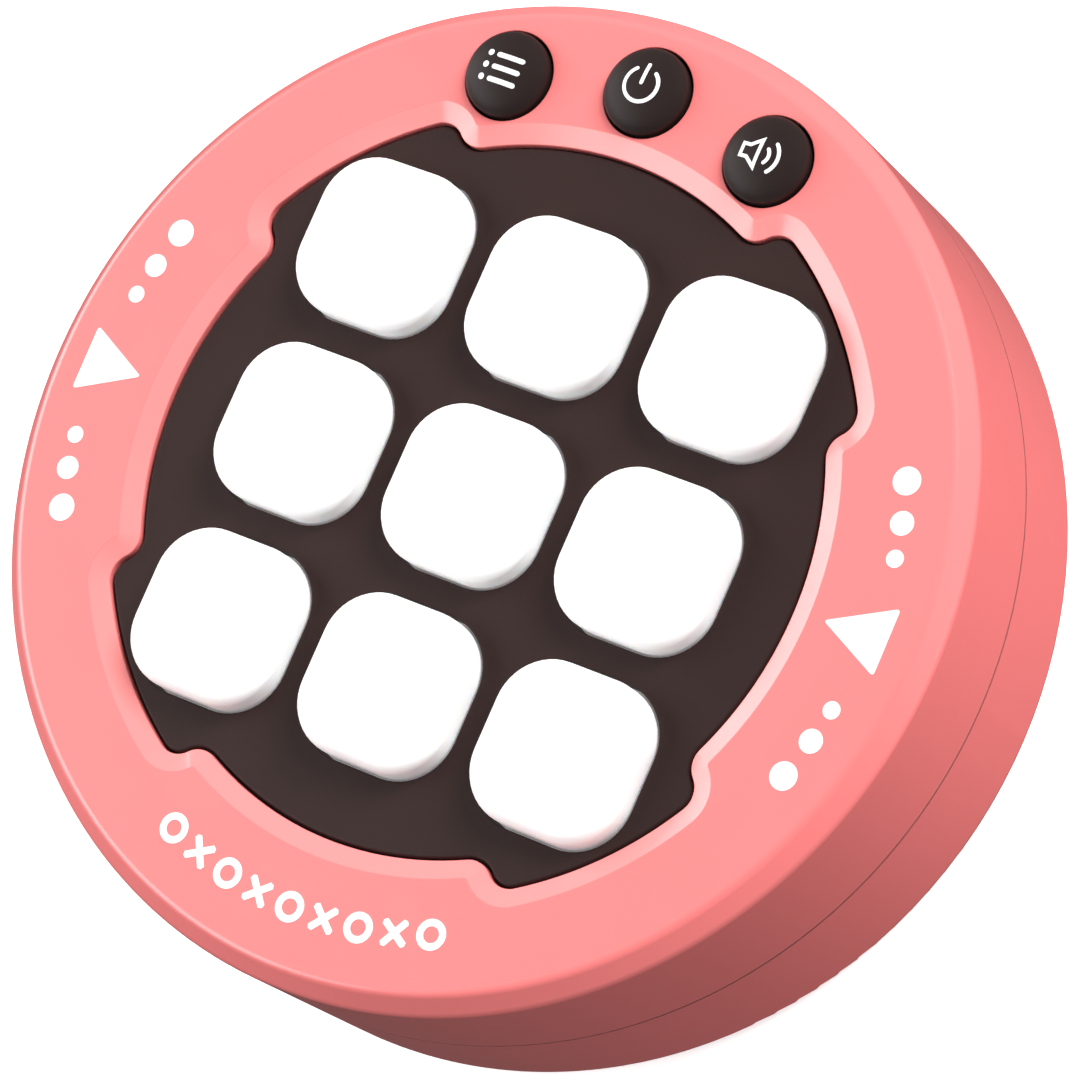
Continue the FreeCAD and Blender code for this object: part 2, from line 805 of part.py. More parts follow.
# ---- Power -----------------------------------------------------------------------------------

def make_battery_cells():
    """Three AAA cells, each turned end for end from its neighbour."""
    for index, (y, facing) in enumerate(cell_rows(), start=1):
        body = new_body(f"battery_cell_{index}")
        end = f"{facing} * (bay_length / 2 - plate_thick)"
        can = "(cell_length - cell_nub)"
        shoulder = f"{end} - {facing} * cell_nub"
        can_start, nub_start = (f"{shoulder} - {can}", shoulder) if facing == 1 else (shoulder, end)
        pad(body, "can", can_start, can, circles("cell_radius", (y, "cell_axis")), "YZ_Plane")
        rims = (number(can_start), number(f"{can_start} + {can}"))
        dress(body, "Fillet", "rims", "0.5",
              lambda point, rims=rims: min(abs(point.x - rim) for rim in rims) < 1e-3)
        pad(body, "nub", nub_start, "cell_nub", circles("cell_nub_radius", (y, "cell_axis")),
            "YZ_Plane")


def make_battery_plates():
    """Nickel contact plates against the bay's end walls; two of them link neighbouring cells."""
    body = new_body("battery_plates")
    upper, middle, lower = (y for y, _ in cell_rows())
    height, bottom = "8.4", "cell_axis - 4.2"
    right, left = "bay_length / 2 - plate_thick / 2", "-1 * bay_length / 2 + plate_thick / 2"
    single, double = "8.4", "8.4 + cell_pitch"
    places = ((right, upper, single), (right, f"({middle} + {lower}) / 2", double),
              (left, f"({upper} + {middle}) / 2", double), (left, lower, single))

    def outlines(outline):
        for x, y, span in places:
            half_x, half_y = "plate_thick / 2", f"({span}) / 2"
            draw_polygon(outline, [(f"{x} - {half_x}", f"{y} - {half_y}"),
                                   (f"{x} + {half_x}", f"{y} - {half_y}"),
                                   (f"{x} + {half_x}", f"{y} + {half_y}"),
                                   (f"{x} - {half_x}", f"{y} + {half_y}")])
    pad(body, "plates", bottom, height, outlines)


def make_battery_springs():
    """Coil springs that press each cell's flat end: a chain of tangent arcs round each turn."""
    wire = number("spring_wire")
    end = number("bay_length / 2 - plate_thick") - wire
    length = number("bay_length - 2 * plate_thick - cell_length") - 2 * wire
    height = number("cell_axis")
    bends = 6
    count = int(bends * number("spring_turns"))
    reach = number("spring_radius") / math.cos(math.pi / bends)
    coils = []
    for y, facing in cell_rows():
        route = []
        for step in range(count + 1):
            angle = 2 * math.pi * step / bends
            route.append((facing * (length * step / count - end),
                          number(y) + reach * math.cos(angle), height + reach * math.sin(angle)))
        coils.append(swept(route, wire)[0])
    add_shape("battery_springs", Part.makeCompound(coils))


# ---- Screws ----------------------------------------------------------------------------------

def make_pan_screws(label, centres, seat, length):
    """Pan-head screws pointing up, their heads hanging below the seat."""
    body = new_body(label)
    pad(body, "shanks", seat, length, circles("screw_shank", *centres))
    dress(body, "Chamfer", "points", "0.6", at_height(f"{seat} + {length}"))
    pad(body, "heads", f"{seat} - screw_head_thick", "screw_head_thick",
        circles("screw_head", *centres))
    dress(body, "Fillet", "head_edges", "0.6", at_height(f"{seat} - screw_head_thick"))
    pocket(body, "recesses", f"{seat} - screw_head_thick + 1.0", "1.0",
           cross("1.3", "0.35", centres))


def make_door_screws():
    """Countersunk captive screws, flush with the door."""
    body = new_body("door_screws")
    centres = ear_centres()
    pad(body, "shanks", "0", "door_screw_top", circles("screw_shank", *centres))
    dress(body, "Chamfer", "points", "0.6", at_height("door_screw_top"))
    for index, (x, y) in enumerate(centres, start=1):
        outline = Outline(body, f"head_{index}_profile", f"-1 * ({y})", "XZ_Plane")
        head, shank = "door_screw_head", "screw_shank"
        draw_polygon(outline, [(x, "0"), (f"{x} + {head}", "0"),
                               (f"{x} + {shank}", f"{head} - {shank}"),
                               (x, f"{head} - {shank}")])
        cone = body.newObject("PartDesign::Revolution", f"door_screws_head_{index}")
        cone.Profile = outline.finish()
        cone.ReferenceAxis = (cone.Profile[0], ["Edge4"])
        cone.Angle = 360
    pocket(body, "recesses", "0.9", "0.9", cross("1.2", "0.3", centres))


# ---- Leads -----------------------------------------------------------------------------------

def rounded_path(points):
    """Straight runs joined by tangent arcs, each as large as its two runs allow."""
    places = [FreeCAD.Vector(*point) for point in points]
    edges, start, radii = [], places[0], []
    for before, corner, after in zip(places, places[1:], places[2:]):
        arriving, leaving = corner - before, after - corner
        turn = arriving.getAngle(leaving)
        cut = 0.45 * min(arriving.Length, leaving.Length)
        radius = cut / math.tan(turn / 2)
        radii.append(radius)
        arriving.normalize()
        leaving.normalize()
        first, last = corner - arriving * cut, corner + leaving * cut
        inward = (leaving - arriving).normalize()
        middle = corner + inward * (radius / math.cos(turn / 2) - radius)
        edges += [Part.LineSegment(start, first).toShape(), Part.Arc(first, middle, last).toShape()]
        start = last
    edges.append(Part.LineSegment(start, places[-1]).toShape())
    return Part.Wire(edges), radii


def swept(points, radius):
    """Round wire along a route of points, with its length and bend radii; its volume has to fit."""
    path, radii = rounded_path(points)
    along = FreeCAD.Vector(*points[1]) - FreeCAD.Vector(*points[0])
    profile = Part.Wire(Part.makeCircle(radius, FreeCAD.Vector(*points[0]), along))
    solid = path.makePipeShell([profile], True, False)
    expected = math.pi * radius ** 2 * path.Length
    if abs(solid.Volume / expected - 1) > 0.01:
        raise RuntimeError(f"a swept wire has {solid.Volume:.2f} mm3, not {expected:.2f}")
    return solid, path.Length, radii


def make_lead(label, points):
    """Insulated wire along a route of points."""
    lead, length, radii = swept(points, number("lead_radius"))
    print(f"{label}: length {length:.1f}, bend radii {', '.join(f'{r:.1f}' for r in radii)}")
    add_shape(label, lead)


def make_leads():
    right = number("bay_length / 2")
    height = number("lead_height")
    board = number("board_bottom")
    positive_y = number("bay_y + cell_pitch")
    negative_y = number("bay_y - cell_pitch")
    make_lead("battery_lead_positive", [
        (right, positive_y, height), (right + 5, positive_y, height),
        (right + 7, positive_y + 2, height + 4), (right + 7, positive_y + 4, board - 4),
        (right + 7, positive_y + 4, board)])
    make_lead("battery_lead_negative", [
        (-right, negative_y, height), (-right - 5, negative_y, height),
        (-right - 7, negative_y + 2, height + 4), (-right - 7, negative_y + 4, board - 4),
        (-right - 7, negative_y + 4, board)])
    back = number("speaker_back")
    speaker_y = number("speaker_y")
    for label, side in (("speaker_lead_positive", 1), ("speaker_lead_negative", -1)):
        make_lead(label, [
            (side * 3, speaker_y - 8.3, back), (side * 3, speaker_y - 8.3, back + 5),
            (side * 5, speaker_y - 10, back + 9), (side * 6, speaker_y - 9, board - 4),
            (side * 6, speaker_y - 9, board)])


# ---- The whole set ---------------------------------------------------------------------------

def build():
    fill_sheet()
    make_front_shell()
    make_rear_shell()
    make_battery_door()
    make_game_panel()
    for row, column, centre in key_places():
        make_key(row, column, centre)
        make_dome(f"dome_r{row}c{column}", centre, "dome_foot", "plunger_radius", "plunger_bore")
    for name in BUTTONS:
        make_button(name)
        make_dome(f"{name}_dome", button_centre(name), "small_foot", "small_ring", "small_bore")
    make_keypad_mat()
    make_light_baffle()
    make_main_board()
    make_contact_pads()
    make_key_leds()
    make_controller_chip()
    make_capacitors()
    make_resistors()
    make_speaker()
    make_battery_cells()
    make_battery_plates()
    make_battery_springs()
    make_pan_screws("case_screws", around("case_post_orbit", CASE_POST_ANGLES),
                    "case_head_seat", "case_screw_length")
    make_pan_screws("board_screws", around("board_boss_orbit", BOARD_BOSS_ANGLES),
                    "board_bottom", "board_screw_length")
    make_door_screws()
    make_leads()
    doc.recompute()


def check():
    """Stop if any object failed or any sub-part's shape is not a valid solid."""
    for item in doc.Objects:
        if {"Invalid", "Error"} & set(item.State):
            raise RuntimeError(f"{item.Name} failed: {item.State}")
    for item in parts:
        if item.Shape.isNull() or not item.Shape.isValid() or not item.Shape.Solids:
            raise RuntimeError(f"{item.Label} has no valid solid")


def write():
    os.makedirs("parts", exist_ok=True)
    for item in parts:
        item.Shape.exportStep(f"parts/{item.Label}.step")
        print(f"{item.Label}: {len(item.Shape.Solids)} solid(s), {item.Shape.Volume:.1f} mm3")


build()
check()
write()
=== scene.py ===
"""Finished look of a handheld light-up noughts-and-crosses game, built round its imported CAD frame.

The frame is in metres, with +Z out of the playing face, +Y towards the power button and the origin in the
middle of the base. Shapes here are worked out in millimetres and turned into metres when a mesh is made.
"""

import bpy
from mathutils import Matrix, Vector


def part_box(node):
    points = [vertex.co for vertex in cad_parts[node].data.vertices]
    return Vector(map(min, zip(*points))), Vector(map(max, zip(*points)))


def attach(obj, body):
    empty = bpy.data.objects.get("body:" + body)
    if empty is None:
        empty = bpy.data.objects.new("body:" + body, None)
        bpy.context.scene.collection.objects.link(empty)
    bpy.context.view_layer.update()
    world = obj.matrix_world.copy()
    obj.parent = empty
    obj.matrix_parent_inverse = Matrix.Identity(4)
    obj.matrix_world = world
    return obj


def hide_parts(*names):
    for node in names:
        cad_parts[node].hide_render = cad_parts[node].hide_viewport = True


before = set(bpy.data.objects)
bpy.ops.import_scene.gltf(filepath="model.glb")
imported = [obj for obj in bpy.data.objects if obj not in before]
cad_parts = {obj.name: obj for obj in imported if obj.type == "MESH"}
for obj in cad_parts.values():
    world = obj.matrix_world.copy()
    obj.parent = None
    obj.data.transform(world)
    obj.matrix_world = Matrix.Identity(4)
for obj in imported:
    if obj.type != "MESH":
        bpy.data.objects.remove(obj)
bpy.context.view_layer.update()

import math
from types import SimpleNamespace

import bpy
import numpy as np
from mathutils import Matrix, Vector
from mathutils.geometry import delaunay_2d_cdt

bl_info = {
    "name": "Light-up noughts and crosses",
    "version": (1, 0, 0),
    "blender": (4, 5, 0),
    "location": "3D View > Sidebar > Noughts",
    "description": "Builds the finished pieces of a handheld noughts-and-crosses game round its CAD frame",
    "category": "Object",
}

MM = 0.001
UP = math.radians(90)
ROWS = (1, 2, 3)
COLUMNS = (1, 2, 3)
BUTTONS = ("mode", "power", "sound")
FADING_DOTS = ((19.7, 1.55), (14.4, 1.32), (9.95, 0.97))    # degrees from the arrow, radius


# ---- Sizes and colours that a user may change ------------------------------------------------

def length(name, description, millimetres):
    return bpy.props.FloatProperty(name=name, description=description, default=millimetres * MM,
                                   subtype="DISTANCE", unit="LENGTH", precision=5)


def turn(name, description, degrees):
    return bpy.props.FloatProperty(name=name, description=description,
                                   default=math.radians(degrees), subtype="ANGLE", unit="ROTATION")


def hue(name, description, colour):
    return bpy.props.FloatVectorProperty(name=name, description=description, default=colour,
                                         size=3, min=0.0, max=1.0, subtype="COLOR")


class CasingSizes(bpy.types.PropertyGroup):
    """Outside and wall of the two shells, and the opening in the face."""
    case_radius: length("Case radius", "Outside of the casing", 55.8)
    face_radius: length("Face radius", "Where the face turns down into the shoulder", 53.85)
    face: length("Face height", "Height of the playing face above the base", 33.0)
    shoulder: length("Shoulder height", "Where the shoulder meets the side wall", 30.76)
    seam: length("Seam height", "Parting line of the two shells", 15.55)
    seam_gap: length("Seam gap", "Width of the fine groove along the parting line", 0.22)
    seam_depth: length("Seam depth", "Depth of that groove", 0.6)
    # Painted shade: the casing colour is darkened over this reach below the parting line.
    seam_shade_reach: length("Seam shade", "Reach of the painted shade below the parting line", 0.13)
    wall: length("Wall", "Thickness of the side wall", 2.2)
    deck: length("Deck", "Thickness of the face", 2.2)
    lip_step: length("Lip step", "Outer part of the wall beside the joint's lip", 1.1)
    lip_top: length("Lip top", "Top of the step that takes the rear shell's lip", 17.1)
    open_short: length("Short radius", "Opening radius between its lobes", 39.4)
    open_lobe: length("Lobe radius", "Opening radius at its lobes", 43.22)
    step_angle: turn("Step angle", "Where each lobe begins, from the nearest axis", 28.1)
    step_round: length("Step rounding", "Radius of the curve into each lobe", 2.7)
    rim_width: length("Rim width", "Width of the bevel round the opening", 2.2)
    rim_depth: length("Rim depth", "Depth of the bevel round the opening", 0.94)
    case_boss_orbit: length("Case boss orbit", "Distance of the case screws from the centre", 48.3)
    case_boss: length("Case boss", "Radius of a case screw's boss", 3.3)
    case_boss_end: length("Case boss end", "Lower end of a case screw's boss", 16.2)
    board_boss_orbit: length("Board boss orbit", "Distance of the board screws", 47.4)
    board_boss: length("Board boss", "Radius of a board screw's boss", 2.6)
    board_boss_end: length("Board boss end", "Lower end of a board screw's boss", 24.2)
    boss_bore: length("Boss bore", "Bore of every boss", 1.35)


class ControlSizes(bpy.types.PropertyGroup):
    """Panel, keys and buttons."""
    panel_gap: length("Panel gap", "Gap between the panel and the opening", 0.3)
    panel_top: length("Panel top", "Height of the panel's face", 31.8)
    panel_bottom: length("Panel bottom", "Underside of the panel", 28.8)
    panel_flange: length("Panel flange", "Reach of the panel under the deck", 1.2)
    pitch: length("Key pitch", "Distance between neighbouring keys", 22.0)
    key_width: length("Key width", "Width of a key", 18.2)
    key_corner: length("Key corner", "Corner radius of a key", 6.2)
    key_gap: length("Key gap", "Gap round a key in the panel", 0.25)
    key_seat: length("Key seat", "Lower end of a key", 27.3)
    key_flange: length("Key flange", "Reach of a key's flange", 1.1)
    key_flange_top: length("Key flange top", "Top of a key's flange", 28.7)
    key_skin: length("Key skin", "Thickness of a key's top", 1.8)
    key_edge: length("Key edge", "Rounding of a key's top edge", 1.5)
    plunger: length("Plunger", "Radius of the tube under a key", 5.0)
    lamp_bore: length("Lamp bore", "Bore for the lamp under a key", 3.4)
    button_radius: length("Button radius", "Radius of a button", 4.85)
    button_hole: length("Button hole", "Radius of a button's hole", 5.15)
    button_dome: length("Button dome", "Height of a button's domed top", 1.9)
    button_flange: length("Button flange", "Radius of a button's flange", 5.7)
    button_flange_low: length("Button flange low", "Underside of a button's flange", 29.2)
    button_flange_top: length("Button flange top", "Top of a button's flange", 30.5)
    button_stem: length("Button stem", "Radius of the stem under a button", 2.6)


class PrintSizes(bpy.types.PropertyGroup):
    """White printing on the face and the buttons."""
    ink: length("Ink", "Height of the ink above the plastic", 0.03)
    mark_orbit: length("Mark orbit", "Middle line of the row of noughts and crosses", 47.5)
    mark_size: length("Mark size", "Height of a nought or a cross", 3.4)
    mark_stroke: length("Mark stroke", "Width of their strokes", 0.8)
    mark_step: turn("Mark step", "Angle between neighbouring marks", 5.1)
    mark_count: bpy.props.IntProperty(name="Mark count", description="Noughts and crosses in the row",
                                      default=9, min=1)
    arrow_tip: length("Arrow tip", "Distance of an arrow's tip from the centre", 43.3)
    arrow_back: length("Arrow back", "Distance of an arrow's back from the centre", 50.8)
    arrow_half: length("Arrow half width", "Half of an arrow's width", 3.75)
    print_turn: turn("Print turn", "Turn of the face printing about the middle", 0.7)
    dot_orbit: length("Dot orbit", "Radius of the circle that the dots lie on", 48.75)


class GameColours(bpy.types.PropertyGroup):
    """Colours of the parts."""
    casing: hue("Casing", "Coral plastic of the shells", (0.95, 0.215, 0.212))
    panel: hue("Panel", "Dark plastic of the panel", (0.030, 0.0165, 0.0150))
    button: hue("Button", "Dark rubber of the buttons", (0.020, 0.0125, 0.0115))
    key: hue("Key", "White silicone of the keys", (0.93, 0.93, 0.93))
    ink: hue("Ink", "White printing", (0.93, 0.93, 0.93))
    floor: hue("Floor", "Plain pale floor", (0.9, 0.9, 0.9))


def sizes():
    """Every size in millimetres, and every angle in radians, by name."""
    scene = bpy.context.scene
    found = {}
    for group in (scene.casing_sizes, scene.control_sizes, scene.print_sizes):
        for name in group.__annotations__:
            kind = group.bl_rna.properties[name]
            value = getattr(group, name)
            found[name] = value / MM if kind.unit == "LENGTH" else value
    return SimpleNamespace(**found)


# ---- Outlines: closed rows of (place, outward direction), anticlockwise -----------------------

def heading(angle):
    return Vector((math.cos(angle), math.sin(angle)))


def round_track(radius, count=64, centre=(0, 0)):
    outs = [heading(2 * math.pi * k / count) for k in range(count)]
    return [(Vector(centre) + out * radius, out) for out in outs]


def box_track(width, corner, corner_steps=12, side_steps=6):
    """Rounded square, starting in the middle of its +X side."""
    half, straight = width / 2, width / 2 - corner
    side = []
    for k in range(side_steps // 2):
        side.append((half, straight * 2 * k / side_steps, 0.0))
    for k in range(corner_steps + 1):
        angle = UP * k / corner_steps
        side.append((straight + corner * math.cos(angle), straight + corner * math.sin(angle), angle))
    for k in range(side_steps // 2 - 1, 0, -1):
        side.append((straight * 2 * k / side_steps, half, UP))
    track = []
    for quarter in range(4):
        spin = quarter * UP
        along, across = heading(spin), heading(spin + UP)
        for x, y, angle in side:
            track.append((along * x + across * y, heading(angle + spin)))
    return track


def lobed_track(size):
    """The opening in the face: four short arcs and four lobes, joined by S-curves."""
    near, far = size.open_short + size.step_round, size.open_lobe - size.step_round
    spread = math.acos((near ** 2 + far ** 2 - (2 * size.step_round) ** 2) / (2 * near * far))
    near_angle, far_angle = size.step_angle - spread / 2, size.step_angle + spread / 2
    inner, outer = heading(near_angle) * near, heading(far_angle) * far
    across = math.atan2(inner.y - outer.y, inner.x - outer.x)
    eighth = []

    def arc(centre, radius, start, end, steps, side=1):
        for k in range(steps):
            out = heading(start + (end - start) * k / steps)
            eighth.append((centre + out * radius, out * side))
    arc(Vector((0, 0)), size.open_short, 0, near_angle, 12)
    arc(inner, size.step_round, near_angle + math.pi, across + math.pi, 10, -1)
    arc(outer, size.step_round, across, far_angle, 10)
    arc(Vector((0, 0)), size.open_lobe, far_angle, UP / 2, 8)
    eighth.append((heading(UP / 2) * size.open_lobe, heading(UP / 2)))

    def mirrored(pair):
        return tuple(Vector((one.y, one.x)) for one in pair)
    quarter = eighth + [mirrored(pair) for pair in eighth[-2:0:-1]]
    track = []
    for k in range(4):
        along, across_way = heading(k * UP), heading(k * UP + UP)
        for pair in quarter:
            track.append(tuple(along * one.x + across_way * one.y for one in pair))
    return track


def matched(track, radius):
    """Circle with one place on the same bearing as each place of a track."""
    return [(place.normalized() * radius, place.normalized()) for place, _ in track]


def moved(track, offset):
    return [(place + out * offset, out) for place, out in track]


# ---- Profiles: rows of (offset, height, tilt of the surface's direction above the horizon) ----

def rounded(corners, steps=4):
    """Profile through corners (offset, height, rounding), with the solid on its left."""
    spots = [Vector(corner[:2]) for corner in corners]
    runs = [(b - a).normalized() for a, b in zip(spots, spots[1:])]
    profile = [(*spots[0], tilt_of(runs[0]))]
    for spot, corner, before, after in zip(spots[1:], corners[1:], runs, runs[1:]):
        bend = math.atan2(before.x * after.y - before.y * after.x, before.dot(after))
        radius, side = corner[2], math.copysign(1, bend)
        start = spot - before * radius * math.tan(abs(bend) / 2)
        centre = start + Vector((-before.y, before.x)) * side * radius
        for k in range(steps + 1):
            angle = bend * k / steps
            way = Vector((before.x * math.cos(angle) - before.y * math.sin(angle),
                          before.x * math.sin(angle) + before.y * math.cos(angle)))
            place = centre - Vector((-way.y, way.x)) * side * radius
            profile.append((*place, tilt_of(way)))
    profile.append((*spots[-1], tilt_of(runs[-1])))
    return profile


def tilt_of(run):
    return math.atan2(-run.x, run.y)


# ---- Meshes -----------------------------------------------------------------------------------

class Skin:
    """One closed surface, gathered ring by ring, with the exact direction it faces at each place."""

    def __init__(self):
        self.places, self.facings, self.faces = [], [], []

    def ring(self, track, offset, height, tilt, scale=1.0):
        start = len(self.places)
        for place, out in track:
            spot = place * scale + out * offset
            self.places.append((spot.x, spot.y, height))
            flat = math.cos(tilt)
            self.facings.append((out.x * flat, out.y * flat, math.sin(tilt)))
        return list(range(start, len(self.places)))

    def join(self, first, second):
        for k, here in enumerate(first):
            following = (k + 1) % len(first)
            self.faces.append((here, first[following], second[following], second[k]))

    def sweep(self, track, profile, after=None):
        """Rings along a profile, joined to one another and to the ring before them; the two end rings."""
        rings = [self.ring(track, *step) for step in profile]
        chain = rings if after is None else [after, *rings]
        for first, second in zip(chain, chain[1:]):
            self.join(first, second)
        return rings[0], rings[-1]

    def pole(self, ring, height, facing):
        """Closes a ring with a fan about its middle."""
        middle = np.mean([self.places[k] for k in ring], axis=0)
        self.places.append((middle[0], middle[1], height))
        self.facings.append((0.0, 0.0, facing))
        tip = len(self.places) - 1
        for k, here in enumerate(ring):
            pair = (here, ring[(k + 1) % len(ring)])
            self.faces.append((*(pair if facing > 0 else pair[::-1]), tip))

    def fill(self, outer, holes=(), facing=1):
        """Triangles between an outer ring and the holes in it."""
        loops = [outer, *holes]
        numbers = [k for loop in loops for k in loop]
        flat = [Vector(self.places[k][:2]) for k in numbers]
        edges, start = [], 0
        for loop in loops:
            edges += [(start + k, start + (k + 1) % len(loop)) for k in range(len(loop))]
            start += len(loop)
        _, _, triangles, sources, _, _ = delaunay_2d_cdt(flat, edges, [], 0, 1e-7)
        corners = [[sources[k][0] for k in triangle] for triangle in triangles]
        spots = np.array(flat)
        middles = spots[np.array(corners)].mean(axis=1)
        starts, ends = (spots[np.array(edges)[:, side]] for side in (0, 1))
        over = (starts[:, 1] > middles[:, None, 1]) != (ends[:, 1] > middles[:, None, 1])
        rise = np.where(ends[:, 1] == starts[:, 1], 1.0, ends[:, 1] - starts[:, 1])
        cross = starts[:, 0] + (middles[:, None, 1] - starts[:, 1]) / rise * (ends[:, 0] - starts[:, 0])
        inside = (over & (cross > middles[:, None, 0])).sum(axis=1) % 2 == 1
        for triangle, kept in zip(corners, inside):
            if kept:
                face = [numbers[k] for k in triangle]
                self.faces.append(face if facing > 0 else face[::-1])

    def piece(self, name, finish, at=(0, 0), smooth=True):
        """The mesh object, in metres, with its middle at a place on the face."""
        mesh = bpy.data.meshes.new(name)
        places = (np.array(self.places) + (*at, 0)) * MM
        mesh.from_pydata(places.tolist(), [], self.faces)
        if mesh.validate():
            raise RuntimeError(f"{name} has faces that can't be used")
        if smooth:
            mesh.shade_smooth()
            mesh.normals_split_custom_set_from_vertices(self.facings)
        mesh.materials.append(finish)
        made = bpy.data.objects.new(name, mesh)
        bpy.context.scene.collection.objects.link(made)
        return made


class Ink(Skin):
    """Thin closed layers of ink that follow a surface."""

    def __init__(self, rise, surface):
        super().__init__()
        self.rise, self.surface = rise, surface

    def patch(self, outer, *holes):
        tops, feet = [], []
        for loop in (outer, *holes):
            track = [(Vector(spot), Vector((0, 0))) for spot in loop]
            for rings, lift in ((tops, self.rise), (feet, -self.rise)):
                ring = self.ring(track, 0, 0, UP)
                for k in ring:
                    x, y, _ = self.places[k]
                    self.places[k] = (x, y, self.surface(x, y) + lift)
                rings.append(ring)
        self.fill(tops[0], tops[1:])
        self.fill(feet[0], feet[1:], -1)
        self.join(feet[0], tops[0])
        for top, foot in zip(tops[1:], feet[1:]):
            self.join(top, foot)

    def stroke(self, path, width, closed=False):
        """A line of even width with round ends, or a closed line."""
        spots = [Vector(spot) for spot in path]
        count, half = len(spots), width / 2
        lefts, rights = [], []
        for k, spot in enumerate(spots):
            before = spots[k - 1] if k or closed else None
            after = spots[(k + 1) % count] if k < count - 1 or closed else None
            runs = [(b - a).normalized() for a, b in ((before, spot), (spot, after)) if a and b]
            way = sum(runs, Vector((0, 0))).normalized()
            reach = half / max(0.3, way.dot(runs[0]))
            side = Vector((-way.y, way.x)) * reach
            lefts.append(spot + side)
            rights.append(spot - side)
        if closed:
            self.patch(*((rights, lefts) if area(rights) > area(lefts) else (lefts, rights)))
            return
        first, last = (spots[1] - spots[0]), (spots[-1] - spots[-2])
        start, end = math.atan2(first.y, first.x), math.atan2(last.y, last.x)
        steps = 6
        nose = [spots[-1] + heading(end - UP + math.pi * k / steps) * half for k in range(1, steps)]
        tail = [spots[0] + heading(start + UP + math.pi * k / steps) * half for k in range(1, steps)]
        self.patch([*rights, *nose, *lefts[::-1], *tail])

    def dot(self, centre, radius, count=28):
        self.patch([place for place, _ in round_track(radius, count, centre)])


def area(loop):
    return sum(a.x * b.y - b.x * a.y for a, b in zip(loop, loop[1:] + loop[:1])) / 2


def arc_path(radius, start, end, steps=20, centre=(0, 0)):
    """Places along an arc, from one angle in degrees to another."""
    angles = [math.radians(start + (end - start) * k / steps) for k in range(steps + 1)]
    return [Vector(centre) + heading(angle) * radius for angle in angles]


def line_path(start, end, steps=6):
    return [Vector(start).lerp(Vector(end), k / steps) for k in range(steps + 1)]


# ---- Node trees -------------------------------------------------------------------------------

class Wire:
    """One output socket. Arithmetic on it adds Math nodes to its tree."""

    def __init__(self, graph, socket):
        self.graph, self.socket = graph, socket

    def also(self, name):
        """Another output of the same node."""
        return Wire(self.graph, self.socket.node.outputs[name])

    def maths(self, operation, *terms):
        return self.graph.node("ShaderNodeMath", {"operation": operation}, dict(enumerate(terms)))

    def __add__(self, other):
        return self.maths("ADD", self, other)

    def __sub__(self, other):
        return self.maths("SUBTRACT", self, other)

    def __rsub__(self, other):
        return self.maths("SUBTRACT", other, self)

    def __mul__(self, other):
        return self.maths("MULTIPLY", self, other)

    def __mod__(self, other):
        return self.maths("MODULO", self, other)

    def __abs__(self):
        return self.maths("ABSOLUTE", self)

    __radd__ = __add__
    __rmul__ = __mul__

    def above(self, edge, blur=0.00002):
        """0 below an edge and 1 above it, with a narrow soft change."""
        return self.graph.node("ShaderNodeMapRange", {"interpolation_type": "SMOOTHSTEP"},
                               {"Value": self, "From Min": edge - blur, "From Max": edge + blur})

    def below(self, edge, blur=0.00002):
        return 1 - self.above(edge, blur)


class Graph:
    """A node tree with one way to add a node."""

    def __init__(self, tree):
        self.tree = tree

    def node(self, kind, settings=None, sockets=None, out=0):
        made = self.tree.nodes.new(kind)
        for name, value in (settings or {}).items():
            setattr(made, name, value)
        for name, value in (sockets or {}).items():
            if isinstance(value, Wire):
                self.tree.links.new(value.socket, made.inputs[name])
            else:
                made.inputs[name].default_value = value
        return Wire(self, made.outputs[out])

    def split(self, vector):
        """The three parts of a vector."""
        parts = self.node("ShaderNodeSeparateXYZ", {}, {0: vector})
        return parts, parts.also("Y"), parts.also("Z")


